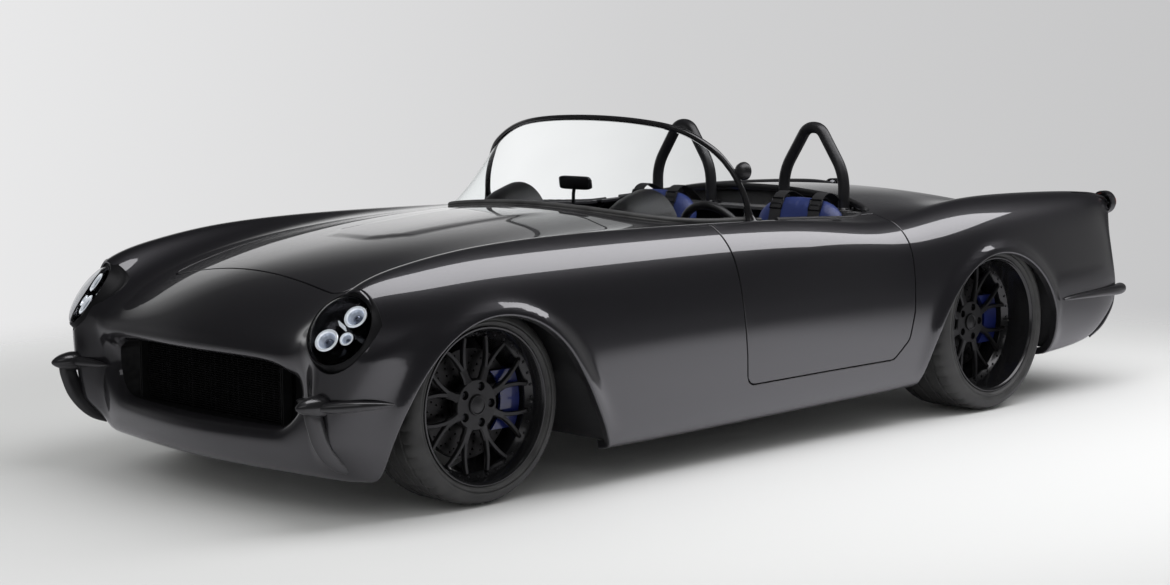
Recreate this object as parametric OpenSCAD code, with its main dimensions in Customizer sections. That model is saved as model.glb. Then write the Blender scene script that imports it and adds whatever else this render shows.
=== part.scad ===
// Two-seat open roadster: a thin lofted body on a ladder frame, with doors, hood and boot lid that open,
// steered front wheels and four turning wheels.
// +X points to the tail, +Y to the right-hand side, +Z up; the ground is at z = 0.
// Places along the car are measured from the front axle and shifted at the end, so that the
// finished car is centred on the origin.

/* [Body] */
// Distance between the front and rear axles
wheelbase = 2591; // [2560:1:2640]
// Thickness of the moulded body skin
skin_t = 6; // [5:0.5:8]
// Shut gap round doors, hood and boot lid
shut_gap = 7; // [6:0.5:9]
// Height of the top of the floor pan
floor_top = 212; // [208:1:220]
// Thickness of the floor pan and of the bulkheads
pan_t = 12; // [10:1:15]
// Distance of a door's inner face from the middle plane
door_inner_y = 778; // [774:1:782]

/* [Wheels] */
// Outer radius of the front tyres
front_tyre_r = 317; // [312:1:322]
// Outer radius of the rear tyres
rear_tyre_r = 342; // [336:1:348]
// Width of the front tyres
front_tyre_w = 252; // [240:1:260]
// Width of the rear tyres
rear_tyre_w = 300; // [285:1:308]
// Radius of the front rim lip
front_lip_r = 254; // [250:1:258]
// Radius of the rear rim lip
rear_lip_r = 267; // [262:1:272]
// Distance of the front rim's outer lip from the middle plane
front_lip_y = 787; // [780:1:792]
// Distance of the rear rim's outer lip from the middle plane
rear_lip_y = 864; // [856:1:870]
// How far the front wheel's spokes sit behind its lip
front_dish = 45; // [40:1:55]
// How far the rear wheel's spokes sit behind its lip
rear_dish = 112; // [95:1:120]
// Radius of the brake discs
disc_r = 178; // [165:1:185]
// Distance of the steering pins from the middle plane
kingpin_y = 640; // [635:1:645]

/* [Frame] */
// Width of a frame rail
rail_w = 70; // [60:1:80]
// Distance of a rail's middle from the middle plane
rail_y = 305; // [300:1:310]
// Radius of the hinge pins
hinge_pin_r = 7; // [6:0.5:9]
// Radius of the tie-down eyes under the rails
eye_r = 16; // [12:1:20]

/* [Cockpit] */
// Outer diameter of the roll hoop tube
hoop_d = 45; // [38:1:50]
// Outer diameter of the steering wheel
steering_d = 360; // [340:1:380]
// Width of a seat
seat_w = 460; // [430:5:465]
// Distance of a seat's middle from the middle plane
seat_y = 385; // [375:1:395]

/* [Hidden] */
left = -1;
right = 1;
running = 0.05;
seat_gap = 0.3;
far = 3000;

// Stretch of the wheelbase, spread over the cockpit between these two stations
drawn_wheelbase = 2591;
stretch_from = 1150;
stretch_to = 2000;
stretch = wheelbase - drawn_wheelbase;
function along(x) = x + stretch * max(0, min(1, (x - stretch_from) / (stretch_to - stretch_from)));

// Body stations. A station is six key points of the right half: centre, valley, crown, side, edge and
// belly; end stations may add a seventh, the shoulder below the crown.
// Plain stations lie across the car: x, centre z, then [y, z] of valley, crown, side and edge.
function across(x, centre_z, valley, crown, side, edge) = [
    [along(x), 0, centre_z],
    [along(x), valley[0], valley[1]],
    [along(x), crown[0], crown[1]],
    [along(x), side[0], side[1]],
    [along(x), edge[0], edge[1]],
    [along(x), 0, edge[1]]];
function ended(points) = [for (p = points) [along(p.x), p.y, p.z]];
NOSE = [
    // mouth, inside
    ended([[-560, 0, 480], [-535, 430, 476], [-515, 505, 440], [-505, 520, 372], [-520, 440, 276],
        [-560, 0, 272]]),
    // mouth lip
    ended([[-618, 0, 490], [-580, 445, 490], [-545, 525, 452], [-532, 540, 372], [-560, 445, 264],
        [-618, 0, 260]]),
    // front face
    ended([[-600, 0, 560], [-575, 470, 535], [-570, 590, 520], [-545, 640, 370], [-545, 520, 205],
        [-625, 0, 205]]),
    // lamps and chin
    ended([[-520, 0, 645], [-465, 540, 590], [-560, 695, 650], [-500, 765, 400], [-490, 650, 128],
        [-575, 0, 108]]),
    // behind the lamps
    ended([[-400, 0, 712], [-365, 565, 630], [-440, 702, 752], [-400, 835, 440], [-405, 775, 115],
        [-400, 0, 110]])];
MIDDLE = [
    across(-240, 758, [580, 676], [702, 793], [870, 470], [840, 115]),
    across(0, 803, [600, 735], [717, 827], [891, 470], [850, 112]),
    across(300, 834, [610, 780], [730, 837], [897, 470], [848, 110]),
    across(600, 856, [622, 804], [744, 837], [895, 470], [842, 108]),
    across(900, 872, [640, 812], [758, 832], [892, 468], [836, 108]),
    across(1200, 874, [665, 817], [770, 826], [890, 466], [833, 112]),
    across(1600, 868, [690, 815], [780, 812], [889, 464], [831, 118]),
    across(1950, 873, [690, 806], [797, 764], [893, 464], [834, 124]),
    across(2200, 888, [655, 818], [790, 790], [905, 470], [845, 132]),
    across(2500, 884, [610, 816], [770, 848], [919, 480], [856, 145]),
    across(2850, 850, [575, 778], [757, 852], [916, 480], [850, 162]),
    across(3150, 805, [560, 738], [752, 848], [901, 470], [838, 174])];
TAIL = [
    // start of the lamp pods
    ended([[3370, 0, 752], [3360, 560, 694], [3400, 752, 840], [3380, 882, 450], [3330, 815, 186],
        [3300, 0, 190]]),
    // pod tips, with the hollow below them
    ended([[3480, 0, 700], [3450, 570, 650], [3570, 752, 822], [3510, 848, 420], [3420, 780, 205],
        [3420, 0, 205],
        [3470, 822, 640]]),
    ended([[3545, 0, 645], [3480, 575, 622], [3615, 748, 770], [3600, 800, 395], [3490, 735, 215],
        [3500, 0, 215],
        [3470, 795, 640]]),
    // rear face
    ended([[3585, 0, 580], [3500, 570, 590], [3480, 700, 640], [3630, 730, 385], [3555, 650, 240],
        [3565, 0, 240],
        [3540, 745, 560]]),
    ended([[3612, 0, 500], [3570, 400, 520], [3560, 520, 560], [3638, 500, 375], [3612, 400, 300],
        [3610, 0, 290],
        [3610, 540, 470]]),
    // short slit that a flat cap closes
    ended([[3621, 0, 450], [3616, 280, 450], [3612, 380, 445], [3626, 420, 385], [3622, 330, 330],
        [3621, 0, 325],
        [3620, 420, 425]])];
STATIONS = concat(NOSE, MIDDLE, TAIL);

// Control net: each station's key points with the blended points between them
function mix(a, b, t) = a + (b - a) * t;
function bend(a, b, tx, ty, tz) = [mix(a.x, b.x, tx), mix(a.y, b.y, ty), mix(a.z, b.z, tz)];
function net_row(s) = [
    s[0],
    bend(s[0], s[1], 0.55, 0.55, 0.3025),
    s[1],
    bend(s[1], s[2], 0.62, 0.62, 0.80),
    s[2],
    len(s) > 6 ? s[6] : bend(s[2], s[3], 0.50, 0.86, 0.27),
    s[3],
    bend(s[3], s[4], 0.55, 0.28, 0.55),
    s[4],
    mix(s[4], s[5], 0.12),
    s[5]];
function mirrored(p) = [p.x, -p.y, p.z];
function closed_row(r) = concat([mirrored(r[1])], r, [mirrored(r[len(r) - 2])]);
INNER_NET = [for (s = STATIONS) closed_row(net_row(s))];
LAST = len(INNER_NET) - 1;
NET = concat([2 * INNER_NET[0] - INNER_NET[1]], INNER_NET, [2 * INNER_NET[LAST] - INNER_NET[LAST - 1]]);

// Uniform cubic blending along the car (u, one step a station) and round the section (v)
SPANS_U = len(STATIONS) - 1;
SPANS_V = 10;
function weights(t) = [pow(1 - t, 3), 3 * pow(t, 3) - 6 * t * t + 4,
    -3 * pow(t, 3) + 3 * t * t + 3 * t + 1, pow(t, 3)] / 6;
function slopes(t) = [-pow(1 - t, 2), 3 * t * t - 4 * t, -3 * t * t + 2 * t + 1, t * t] / 2;
function blend(points, i, w) = points[i] * w[0] + points[i + 1] * w[1] + points[i + 2] * w[2]
    + points[i + 3] * w[3];
function span(t, spans) = min(floor(t), spans - 1);
function section(u, d) = let (i = span(u, SPANS_U), w = d ? slopes(u - i) : weights(u - i))
    [for (j = [0 : SPANS_V + 2])
        NET[i][j] * w[0] + NET[i + 1][j] * w[1] + NET[i + 2][j] * w[2] + NET[i + 3][j] * w[3]];
function unit(p) = p / max(norm(p), 1e-9);
// Stations at which the skin is drawn, closer where it bends
STEP = 0.5;
DRAWN_U = concat([for (u = [0 : STEP : 7]) u], [for (u = [8 : 12]) u], [for (u = [13 : STEP : SPANS_U]) u]);
DRAWN_V = concat([for (v = [0 : STEP : 6.5]) v], [for (v = [7 : SPANS_V]) v]);
// A ring of skin points at station u, moved inward by depth
function half_ring(u, depth) = let (s = section(u, false), su = section(u, true))
    [for (v = DRAWN_V) let (j = span(v, SPANS_V), w = weights(v - j), dw = slopes(v - j))
        blend(s, j, w) - depth * unit(cross(blend(su, j, w), blend(s, j, dw)))];
function ring(u, depth) = let (h = half_ring(u, depth), n = len(h))
    concat(h, [for (k = [n - 2 : -1 : 1]) mirrored(h[k])]);
function rings(depth) = [for (u = DRAWN_U) ring(u, depth)];
function middle(points) = [for (k = [0 : 2]) [for (p = points) p[k]] * [for (p = points) 1] / len(points)];

// Closed tube through a list of equal rings, each turning left-handed about the way along, with capped ends
module tube_of(list) {
    n = len(list[0]);
    m = len(list);
    points = concat([for (r = list) each r], [middle(list[0]), middle(list[m - 1])]);
    walls = [for (i = [0 : m - 2], k = [0 : n - 1]) let (a = i * n + k, b = i * n + (k + 1) % n)
        each [[a, b, b + n], [a, b + n, a + n]]];
    front_cap = [for (k = [0 : n - 1]) [m * n, (k + 1) % n, k]];
    rear_cap = [for (k = [0 : n - 1]) [m * n + 1, (m - 1) * n + k, (m - 1) * n + (k + 1) % n]];
    polyhedron(points, concat(walls, front_cap, rear_cap), convexity = 8);
}
OUTER = rings(0);
module outer() { tube_of(OUTER); }
// Inside of the skin; its first ring reaches forward so that the mouth stays open
MOUTH_CUT = 3;
module inner(depth = skin_t) {
    list = rings(depth);
    tube_of(concat([[for (p = list[0]) p - [MOUTH_CUT, 0, 0]]], list));
}
module skin() {
    difference() {
        outer();
        inner();
    }
}

// Overall reach, with how far the lamp rims and the bumper spears stand out of the skin, and the shift
// that centres the car
lamp_proud = 5.7;
spear_proud = 3.1;
front_x = min([for (r = OUTER) each [for (p = r) p.x]]) - lamp_proud;
tail_x = max([for (r = OUTER) each [for (p = r) p.x]]) + spear_proud;
middle_x = (front_x + tail_x) / 2;
module car() {
    translate([-middle_x, 0, 0]) children();
}

// Rounded outline through arc centres: one sector a side, so that a side may be hollow
module outline(centres, r) {
    n = len(centres);
    heart = [for (k = [0 : 1]) [for (c = centres) c[k]] * [for (c = centres) 1] / n];
    for (i = [0 : n - 1])
        hull() {
            translate(heart) circle(r = 1, $fn = 6);
            for (c = [centres[i], centres[(i + 1) % n]])
                translate(c) circle(r = r, $fn = 12);
        }
}
function both(list) = concat(list, [for (k = [len(list) - 1 : -1 : 0]) [list[k].x, -list[k].y]]);
// Upright prism of a plan outline, and cross prism of a side outline
module plan(z0, z1) {
    translate([0, 0, z0]) linear_extrude(z1 - z0) children();
}
module side(y0, y1) {
    translate([0, y1, 0]) rotate([90, 0, 0]) linear_extrude(y1 - y0) children();
}
module each_side() {
    children();
    mirror([0, 1, 0]) children();
}
module on_side(s) {
    if (s == right) children();
    else mirror([0, 1, 0]) children();
}

// Panel outlines as arc centres
PANEL_R = 45;
HOOD = both([[-285, 425], [250, 500], [720, 530], [775, 380], [810, 190]]);
LID = both([[2765, 300], [2790, 410], [3000, 425], [3230, 415], [3285, 360], [3290, 180]]);
DOOR = [[1094, 900], [1116, 760], [1140, 560], [1173, 308], [1560, 311], [1930, 313], [1985, 362],
    [2003, 450],
    [2005, 700], [1990, 900]];
COCKPIT = both([[1025, 150], [1040, 340], [1075, 470], [1150, 572], [1290, 640], [1420, 672], [1895, 660],
    [2040, 605], [2100, 480], [2110, 200]]);
function laid(list) = [for (p = list) [along(p.x), p.y]];
// Wheel arches: an ellipse, drawn on to a foot: centre x and z, half-width, height, foot x
arch_floor = 60;
FRONT_ARCH = [-12, 150, 392, 466, 548];
REAR_ARCH = [2577, 150, 432, 482, 3000];
module arch(a) {
    hull() {
        translate([along(a[0]), a[1]]) scale([a[2], a[3]]) circle(r = 1, $fn = 28);
        translate([along(a[0]) - a[2], arch_floor]) square([2 * a[2], 1]);
        translate([along(a[4]) - 20, arch_floor]) square([20, 1]);
    }
}
arch_inner_y = 640;
arch_outer_y = 1000;
door_cut_y = 690;
belly_y = 765;
belly_top = 235;
belly_front = -330;
belly_rear = 3290;
panel_floor = 560;
panel_top = 1000;

// Headlamps: middle, lean back and turn outwards, half-width and half-height
lamp = [-508, 706, 600];
lamp_lean = 36;
lamp_turn = 22;
lamp_rx = 106;
lamp_ry = 124;
rim_w = 20;
module at_lamp() {
    translate(lamp) rotate([0, 0, -lamp_turn]) rotate([0, lamp_lean - 90, 0]) rotate([0, 0, 90]) children();
}
module lamp_oval(grow) {
    hull() scale([lamp_rx + grow, lamp_ry + grow]) circle(r = 1, $fn = LAMP_SIDES);
}

// Body mouldings, joined along seams across the car and down its middle
seam_front = -330;
seam_sill = along(1550);
seam_rear = along(3330);
module moulding(x0, x1, y0 = -far / 2, y1 = far / 2) {
    color([0.16, 0.15, 0.17]) car() intersection() {
        shell();
        translate([x0, y0, 0]) cube([x1 - x0, y1 - y0, far / 2]);
    }
}
module nose() { moulding(front_x - 1, seam_front); }
module fender_left() { moulding(seam_front, seam_sill, y1 = 0); }
module fender_right() { moulding(seam_front, seam_sill, y0 = 0); }
module quarter_left() { moulding(seam_sill, seam_rear, y1 = 0); }
module quarter_right() { moulding(seam_sill, seam_rear, y0 = 0); }
module tail() { moulding(seam_rear, tail_x + 1); }
module shell() {
    difference() {
        skin();
        plan(panel_floor, panel_top) outline(laid(HOOD), PANEL_R + shut_gap / 2);
        plan(panel_floor, panel_top) outline(laid(LID), PANEL_R + shut_gap / 2);
        plan(panel_floor, panel_top) outline(laid(COCKPIT), PANEL_R);
        each_side() side(door_cut_y, arch_outer_y) outline(laid(DOOR), PANEL_R + shut_gap / 2);
        each_side() side(arch_inner_y, arch_outer_y) arch(FRONT_ARCH);
        each_side() side(arch_inner_y, arch_outer_y) arch(REAR_ARCH);
        each_side() at_lamp() translate([0, 0, -150]) linear_extrude(400) lamp_oval(0);
        mouth();
        translate([belly_front, -belly_y, 0]) cube([along(belly_rear) - belly_front, 2 * belly_y, belly_top]);
    }
}

// Clear way through the mouth, just inside its ring
mouth_clear = 0.985;
mouth_reach = 45;
module mouth() {
    heart = middle(OUTER[0]);
    tube_of([for (d = [-mouth_reach, mouth_reach])
        [for (p = OUTER[0]) heart + (p - heart) * mouth_clear + [d, 0, 0]]]);
}

// Hood and boot lid: skin with two pads that the hinge straps seat on
hood_axis = [-390, 660];
hood_pad_z = hood_axis.y + 32;
hood_strap_y = 150;
hood_drop = 30;
pad_l = 34;
pad_w = 60;
hood_pad_x = hood_axis.x + 105;
module lifted_panel(centres, pad_x, pad_z, pad_y) {
    intersection() {
        plan(panel_floor, panel_top) outline(laid(centres), PANEL_R - shut_gap / 2);
        union() {
            skin();
            intersection() {
                outer();
                each_side() translate([pad_x, pad_y - pad_w / 2, pad_z]) cube([pad_l, pad_w, 200]);
            }
        }
    }
}
module hood() {
    color([0.16, 0.15, 0.17]) car() lifted_panel(HOOD, hood_pad_x, hood_pad_z, hood_strap_y);
}
lid_axis = [along(2678), 826];
lid_pad_z = lid_axis.y - 6;
lid_strap_y = 150;
lid_drop = 60;
lid_pad_x = lid_axis.x + 60;
module boot_lid() {
    color([0.16, 0.15, 0.17]) car() lifted_panel(LID, lid_pad_x, lid_pad_z, lid_strap_y);
}

// Doors: skin to the shut line and a core set back from it
core_inset = 28;
core_top = 765;
lip_y = 742;
module door(s) {
    color([0.16, 0.15, 0.17]) car() on_side(s) difference() {
        intersection() {
            outer();
            union() {
                intersection() {
                    skin();
                    side(lip_y, arch_outer_y) outline(laid(DOOR), PANEL_R - shut_gap / 2);
                }
                intersection() {
                    side(door_inner_y, arch_outer_y) outline(laid(DOOR), PANEL_R - core_inset);
                    cube([far, far, core_top]);
                }
            }
        }
        plan(panel_floor, panel_top) outline(laid(COCKPIT), PANEL_R);
    }
}
module door_left() { door(left); }
module door_right() { door(right); }

// Hinge straps: a knuckle on its pin, and a goose-neck that passes inside the shut edge
knuckle_r = 13;
strap_w = 34;
strap_t = 12;
lug_t = 10;
lug_gap = 1;
// Straps of the hood and lid turn about a cross axis: down from the pin, under the shut edge, up to the pad
module lift_strap(axis, strap_y, pad_x, pad_z, drop) {
    leg_x = pad_x - axis.x;
    translate([axis.x, strap_y, axis.y]) difference() {
        union() {
            rotate([90, 0, 0]) cylinder(r = knuckle_r, h = strap_w, center = true, $fn = 48);
            translate([-strap_t / 2, -strap_w / 2, -drop]) cube([strap_t, strap_w, drop]);
            translate([-strap_t / 2, -strap_w / 2, -drop])
                cube([leg_x + pad_l + strap_t / 2, strap_w, strap_t]);
            translate([leg_x, -strap_w / 2, -drop]) cube([pad_l, strap_w, pad_z - axis.y + drop]);
        }
        rotate([90, 0, 0]) cylinder(r = hinge_pin_r + running, h = 2 * strap_w, center = true, $fn = 48);
    }
}
module hood_straps() {
    color([0.1, 0.1, 0.1]) car() each_side()
        lift_strap(hood_axis, hood_strap_y, hood_pad_x, hood_pad_z, hood_drop);
}
module lid_straps() {
    color([0.1, 0.1, 0.1]) car() each_side()
        lift_strap(lid_axis, lid_strap_y, lid_pad_x, lid_pad_z, lid_drop);
}
// Pins of those straps, each between two lugs that stand on a bar
module lift_lugs(axis, strap_y, foot_z) {
    for (s = [left, right]) {
        y0 = strap_y + s * (strap_w / 2 + lug_gap + lug_t / 2);
        translate([axis.x, y0, axis.y]) {
            rotate([90, 0, 0]) cylinder(r = knuckle_r, h = lug_t, center = true, $fn = 48);
            translate([-knuckle_r, -lug_t / 2, foot_z - axis.y])
                cube([2 * knuckle_r, lug_t, axis.y - foot_z]);
        }
    }
    translate([axis.x, strap_y, axis.y]) rotate([90, 0, 0])
        cylinder(r = hinge_pin_r, h = strap_w + 2 * lug_t, center = true, $fn = 48);
}
// Door hinges: axis in plan, two heights
door_axis = [1010, 835];
HINGE_Z = [510, 640];
arm_in = 78;
arm_t = 16;
strap_reach = 175;
strap_seat = 55;
module door_straps(s) {
    color([0.1, 0.1, 0.1]) car() on_side(s) for (z = HINGE_Z)
        translate([door_axis.x, door_axis.y, z]) difference() {
            union() {
                cylinder(r = knuckle_r, h = strap_w, center = true, $fn = 48);
                translate([-strap_t / 2, -arm_in, -strap_w / 2]) cube([strap_t, arm_in, strap_w]);
                translate([-strap_t / 2, -arm_in, -strap_w / 2]) cube([strap_reach, arm_t, strap_w]);
                translate([strap_reach - strap_t / 2 - strap_seat, -arm_in, -strap_w / 2])
                    cube([strap_seat, door_inner_y - door_axis.y + arm_in, strap_w]);
            }
            cylinder(r = hinge_pin_r + running, h = 2 * strap_w, center = true, $fn = 48);
        }
}
module door_straps_left() { door_straps(left); }
module door_straps_right() { door_straps(right); }

// Firewall and rear bulkhead stations, and the bar that carries the boot lid's hinges
firewall_x = 880;
bulkhead_x = along(2172);
lid_bar_z = 740;
lid_bar_t = 22;
post_w = 40;
module hinge_posts() {
    color([0.12, 0.12, 0.13]) car() {
        each_side() for (z = HINGE_Z) {
            for (d = [-strap_w / 2 - lug_gap - lug_t, strap_w / 2 + lug_gap])
                translate([firewall_x + pan_t, door_axis.y - post_w / 2, z + d])
                    cube([door_axis.x + knuckle_r - firewall_x - pan_t, post_w, lug_t]);
            translate([door_axis.x, door_axis.y, z])
                cylinder(r = hinge_pin_r, h = strap_w + 2 * lug_t, center = true, $fn = 48);
            translate([firewall_x + pan_t, door_axis.y - post_w / 2, z - strap_w / 2 - lug_gap - lug_t])
                cube([strap_t, post_w, strap_w + 2 * lug_gap + 2 * lug_t]);
        }
        each_side() lift_lugs(lid_axis, lid_strap_y, lid_bar_z);
        translate([lid_axis.x - knuckle_r, -rail_y - rail_w / 2, lid_bar_z - lid_bar_t])
            cube([2 * knuckle_r, 2 * rail_y + rail_w, lid_bar_t]);
        each_side() translate([lid_axis.x - knuckle_r, rail_y - post_w / 2, rail_rear_top])
            cube([2 * knuckle_r, post_w, lid_bar_z - lid_bar_t - rail_rear_top]);
    }
}

// Ladder frame: heights of the rails' tops at the nose, under the cockpit and over the rear axle
rail_h = 75;
rail_front_top = 300;
rail_mid_top = floor_top - pan_t;
rail_rear_top = 500;
rail_nose_x = hood_axis.x - knuckle_r;
rail_tail_x = along(3380);
RAIL = [[rail_nose_x, rail_front_top], [800, rail_front_top], [930, rail_mid_top],
    [along(2020), rail_mid_top],
    [along(2230), rail_rear_top], [rail_tail_x, rail_rear_top]];
CROSS_X = [60, 1450, 2300, 3280];
end_plate_t = 16;
rail_inner = rail_y - rail_w / 2;
module rail(s) {
    profile = concat(RAIL, [for (k = [len(RAIL) - 1 : -1 : 0]) RAIL[k] - [0, rail_h]]);
    color([0.1, 0.1, 0.11]) car() on_side(s) {
        side(rail_inner, rail_y + rail_w / 2) polygon(profile);
        for (e = [[eye_front_x, rail_front_top], [eye_rear_x, rail_rear_top]])
            translate([e[0], rail_y, e[1] - rail_h]) tie_down();
    }
}
module rail_left() { rail(left); }
module rail_right() { rail(right); }
// Cross tubes and end plates, seated between the rails
module cross_tubes() {
    reach = rail_inner - running;
    color([0.1, 0.1, 0.11]) car() {
        for (x = CROSS_X) translate([along(x), 0, cross_z(x)]) rotate([90, 0, 0])
            cylinder(r = rail_h / 3, h = 2 * reach, center = true, $fn = 32);
        for (e = [[rail_nose_x, rail_front_top], [rail_tail_x - end_plate_t, rail_rear_top]])
            translate([e[0], -reach, e[1] - rail_h]) cube([end_plate_t, 2 * reach, rail_h]);
    }
}
function cross_z(x) = (x < 900 ? rail_front_top : x < 2000 ? rail_mid_top : rail_rear_top) - rail_h / 2;
// Tie-down eye: an upright plate under a rail with a cross bore
eye_front_x = -270;
eye_rear_x = along(3150);
eye_drop = 36;
eye_t = 16;
eye_l = 90;
eye_h = 70;
module tie_down() {
    difference() {
        translate([-eye_l / 2, -eye_t / 2, -eye_h]) cube([eye_l, eye_t, eye_h]);
        translate([0, 0, -eye_drop]) rotate([90, 0, 0])
            cylinder(r = eye_r, h = 2 * eye_t, center = true, $fn = 48);
    }
}

// Front crossmember: posts on the rails, a top bar and the hood's hinge lugs
bar_z = 625;
bar_h = 24;
post_l = 26;
module front_crossmember() {
    color([0.1, 0.1, 0.11]) car() {
        each_side() lift_lugs(hood_axis, hood_strap_y, bar_z);
        translate([hood_axis.x - knuckle_r, -rail_y - 80, bar_z - bar_h])
            cube([post_l, 2 * rail_y + 160, bar_h]);
        each_side() translate([hood_axis.x - knuckle_r, rail_y + post_w / 4, rail_front_top])
            cube([post_l, post_w / 2, bar_z - rail_front_top]);
    }
}

// Floor pan, sills, bulkheads, tunnel and the shelf that carries the roll hoops
tunnel_w = 300;
tunnel_top = 430;
sill_top = 250;
sill_in = 700;
shelf_z = 800;
shelf_x = along(2060);
FLOOR = both([[firewall_x + 40, 700], [1300, 790], [1700, 790], [2100, 780], [2140, 500]]);
module floor_tub() {
    front = firewall_x + pan_t + running;
    length = bulkhead_x - running - front;
    color([0.08, 0.08, 0.09]) car() lined() {
        intersection() {
            plan(floor_top - pan_t, floor_top) outline(laid(FLOOR), 40);
            translate([front, -far / 2, 0]) cube([length, far, far]);
        }
        each_side() translate([front, sill_in, floor_top - pan_t])
            cube([length, far, sill_top - floor_top + pan_t]);
        translate([front, -tunnel_w / 2, floor_top - pan_t])
            cube([length, tunnel_w, tunnel_top - floor_top + pan_t]);
    }
}
// Firewall, and the rear bulkhead with its shelf
module bulkheads() {
    color([0.08, 0.08, 0.09]) car() lined() {
        for (x = [firewall_x, bulkhead_x])
            translate([x, -far / 2, floor_top - pan_t]) cube([pan_t, far, far]);
        translate([shelf_x, -620, shelf_z - pan_t]) cube([bulkhead_x - shelf_x, 1240, pan_t]);
    }
}
// Inside of the body, less the tunnel's hollow, the rear arches and the frame rails
module lined() {
    intersection() {
        inner(skin_t + seat_gap);
        difference() {
            union() children();
            translate([firewall_x - 1, -tunnel_w / 2 + pan_t, 0])
                cube([bulkhead_x - firewall_x + pan_t + 2, tunnel_w - 2 * pan_t, tunnel_top - pan_t]);
            each_side() side(arch_inner_y, arch_outer_y) arch(REAR_ARCH);
            each_side() side(rail_inner - seat_gap, rail_y + rail_w / 2 + seat_gap)
                polygon(concat(RAIL, [[rail_tail_x, 0], [rail_nose_x, 0]]));
        }
    }
}

// Dashboard: a padded beam between the firewall and the driver, with a hood over each end
dash_top = 800;
dash_rear_x = 1165;
dash_half_w = 600;
hump_r = 120;
hump_y = 350;
hump_x = 1010;
hump_drop = 40;
module dashboard() {
    color([0.07, 0.07, 0.09]) car() {
        difference() {
            union() {
                side(-dash_half_w, dash_half_w) polygon([[firewall_x + pan_t, dash_top - 310],
                    [firewall_x + pan_t, dash_top - 30], [1040, dash_top], [dash_rear_x - 10, dash_top],
                    [dash_rear_x, dash_top - 40], [dash_rear_x - 60, dash_top - 290],
                        [1000, dash_top - 310]]);
                each_side() translate([hump_x, hump_y, dash_top - hump_drop]) rotate([0, 90, 0])
                    cylinder(r1 = hump_r * 0.55, r2 = hump_r, h = dash_rear_x - hump_x, $fn = 48);
            }
            each_side() translate([dash_rear_x - 25, hump_y, dash_top - hump_drop]) rotate([0, 90, 0])
                cylinder(r = hump_r - 22, h = 60, $fn = 48);
        }
    }
}

// Windscreen: rail over the glass and the curve that the glass stands on, from the middle outwards
RAIL_TOP = [[1205, 0, 1177], [1214, 255, 1167], [1246, 439, 1137], [1267, 571, 1077], [1288, 635, 1015],
    [1305, 677, 945], [1318, 697, 880], [1326, 700, 822]];
base_front = 925;
base_back = 1262;
base_half = 690;
base_power = 2.9;
frame_r = 11;
GLASS_STEPS = 11;
function rail_at(t) = let (s = t * (len(RAIL_TOP) - 1), i = min(floor(s), len(RAIL_TOP) - 2), f = s - i,
    a = i > 0 ? RAIL_TOP[i - 1] : mirrored(RAIL_TOP[1]), b = RAIL_TOP[i], c = RAIL_TOP[i + 1],
    d = i + 2 < len(RAIL_TOP) ? RAIL_TOP[i + 2] : 2 * c - b)
    0.5 * (2 * b + (c - a) * f + (2 * a - 5 * b + 4 * c - d) * f * f + (3 * b - a - 3 * c + d) * pow(f, 3));
// Curve of the base in plan, with the height of the cowl below it
function base_at(t) = let (w = sin(90 * t), y = base_half * w,
    x = base_back - (base_back - base_front) * pow(1 - pow(w, base_power), 1 / base_power))
    [mix(x, RAIL_TOP[7].x, pow(t, 8)), y, mix(869, 822, min(1, pow(w, 2) * 1.05))];
function whole(list) = concat([for (k = [len(list) - 1 : -1 : 1]) mirrored(list[k])], list);
TOP_LINE = whole([for (k = [0 : GLASS_STEPS]) rail_at(k / GLASS_STEPS)]);
BASE_LINE = whole([for (k = [0 : GLASS_STEPS]) base_at(k / GLASS_STEPS)]);
// Round bar swept along a line of points
BAR_SIDES = 6;
function bar_rings(line, r, up) = [for (i = [0 : len(line) - 1])
    let (t = unit(line[min(i + 1, len(line) - 1)] - line[max(i - 1, 0)]),
        a = unit(cross(t, up)), b = cross(t, a))
    [for (k = [0 : BAR_SIDES - 1]) let (t = 360 * k / BAR_SIDES)
        line[i] + (is_list(r) ? r[i] : r) * (cos(t) * a - sin(t) * b)]];
module swept_bar(line, r, up = [0.3, 0, 1]) {
    tube_of(bar_rings(line, r, up));
}
module windscreen_frame() {
    color([0.03, 0.03, 0.03]) car() {
        swept_bar(TOP_LINE, frame_r);
        swept_bar(BASE_LINE, frame_r);
    }
}
// Glass between the two lines, set a little inside the bars
glass_t = 5;
glass_edge = 0.03;
GLASS_ROWS = 4;
function glass_ring(i, row) = let (w = mix(glass_edge, 1 - glass_edge, row / GLASS_ROWS))
    mix(BASE_LINE[i], TOP_LINE[i], w);
module windscreen_glass() {
    n = len(TOP_LINE) - 4;
    sheet = [for (i = [2 : n + 1]) [for (row = [0 : GLASS_ROWS]) glass_ring(i, row)]];
    away = [for (i = [0 : n - 1]) [for (row = [0 : GLASS_ROWS])
        let (du = sheet[min(i + 1, n - 1)][row] - sheet[max(i - 1, 0)][row],
            dw = sheet[i][min(row + 1, GLASS_ROWS)] - sheet[i][max(row - 1, 0)])
        sheet[i][row] + glass_t * unit(cross(du, dw))]];
    color([0.8, 0.85, 0.88, 0.35]) car()
        tube_of([for (i = [0 : n - 1]) concat(away[i], [for (row = [GLASS_ROWS : -1 : 0]) sheet[i][row]])]);
}

// Radiator behind the mouth, with upright slats on its face
radiator_x = -450;
radiator_w = 760;
radiator_z = 245;
radiator_h = 320;
SLATS = 24;
slat_t = 8;
module radiator() {
    color([0.05, 0.05, 0.05]) car() {
        translate([radiator_x, -radiator_w / 2, radiator_z])
            cube([hood_axis.x - knuckle_r - radiator_x, radiator_w, radiator_h]);
        for (k = [0 : SLATS - 1])
            translate([radiator_x - 14, -radiator_w / 2 + (k + 0.5) * radiator_w / SLATS - slat_t / 2,
                radiator_z])
                cube([15, slat_t, radiator_h]);
    }
}

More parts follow.
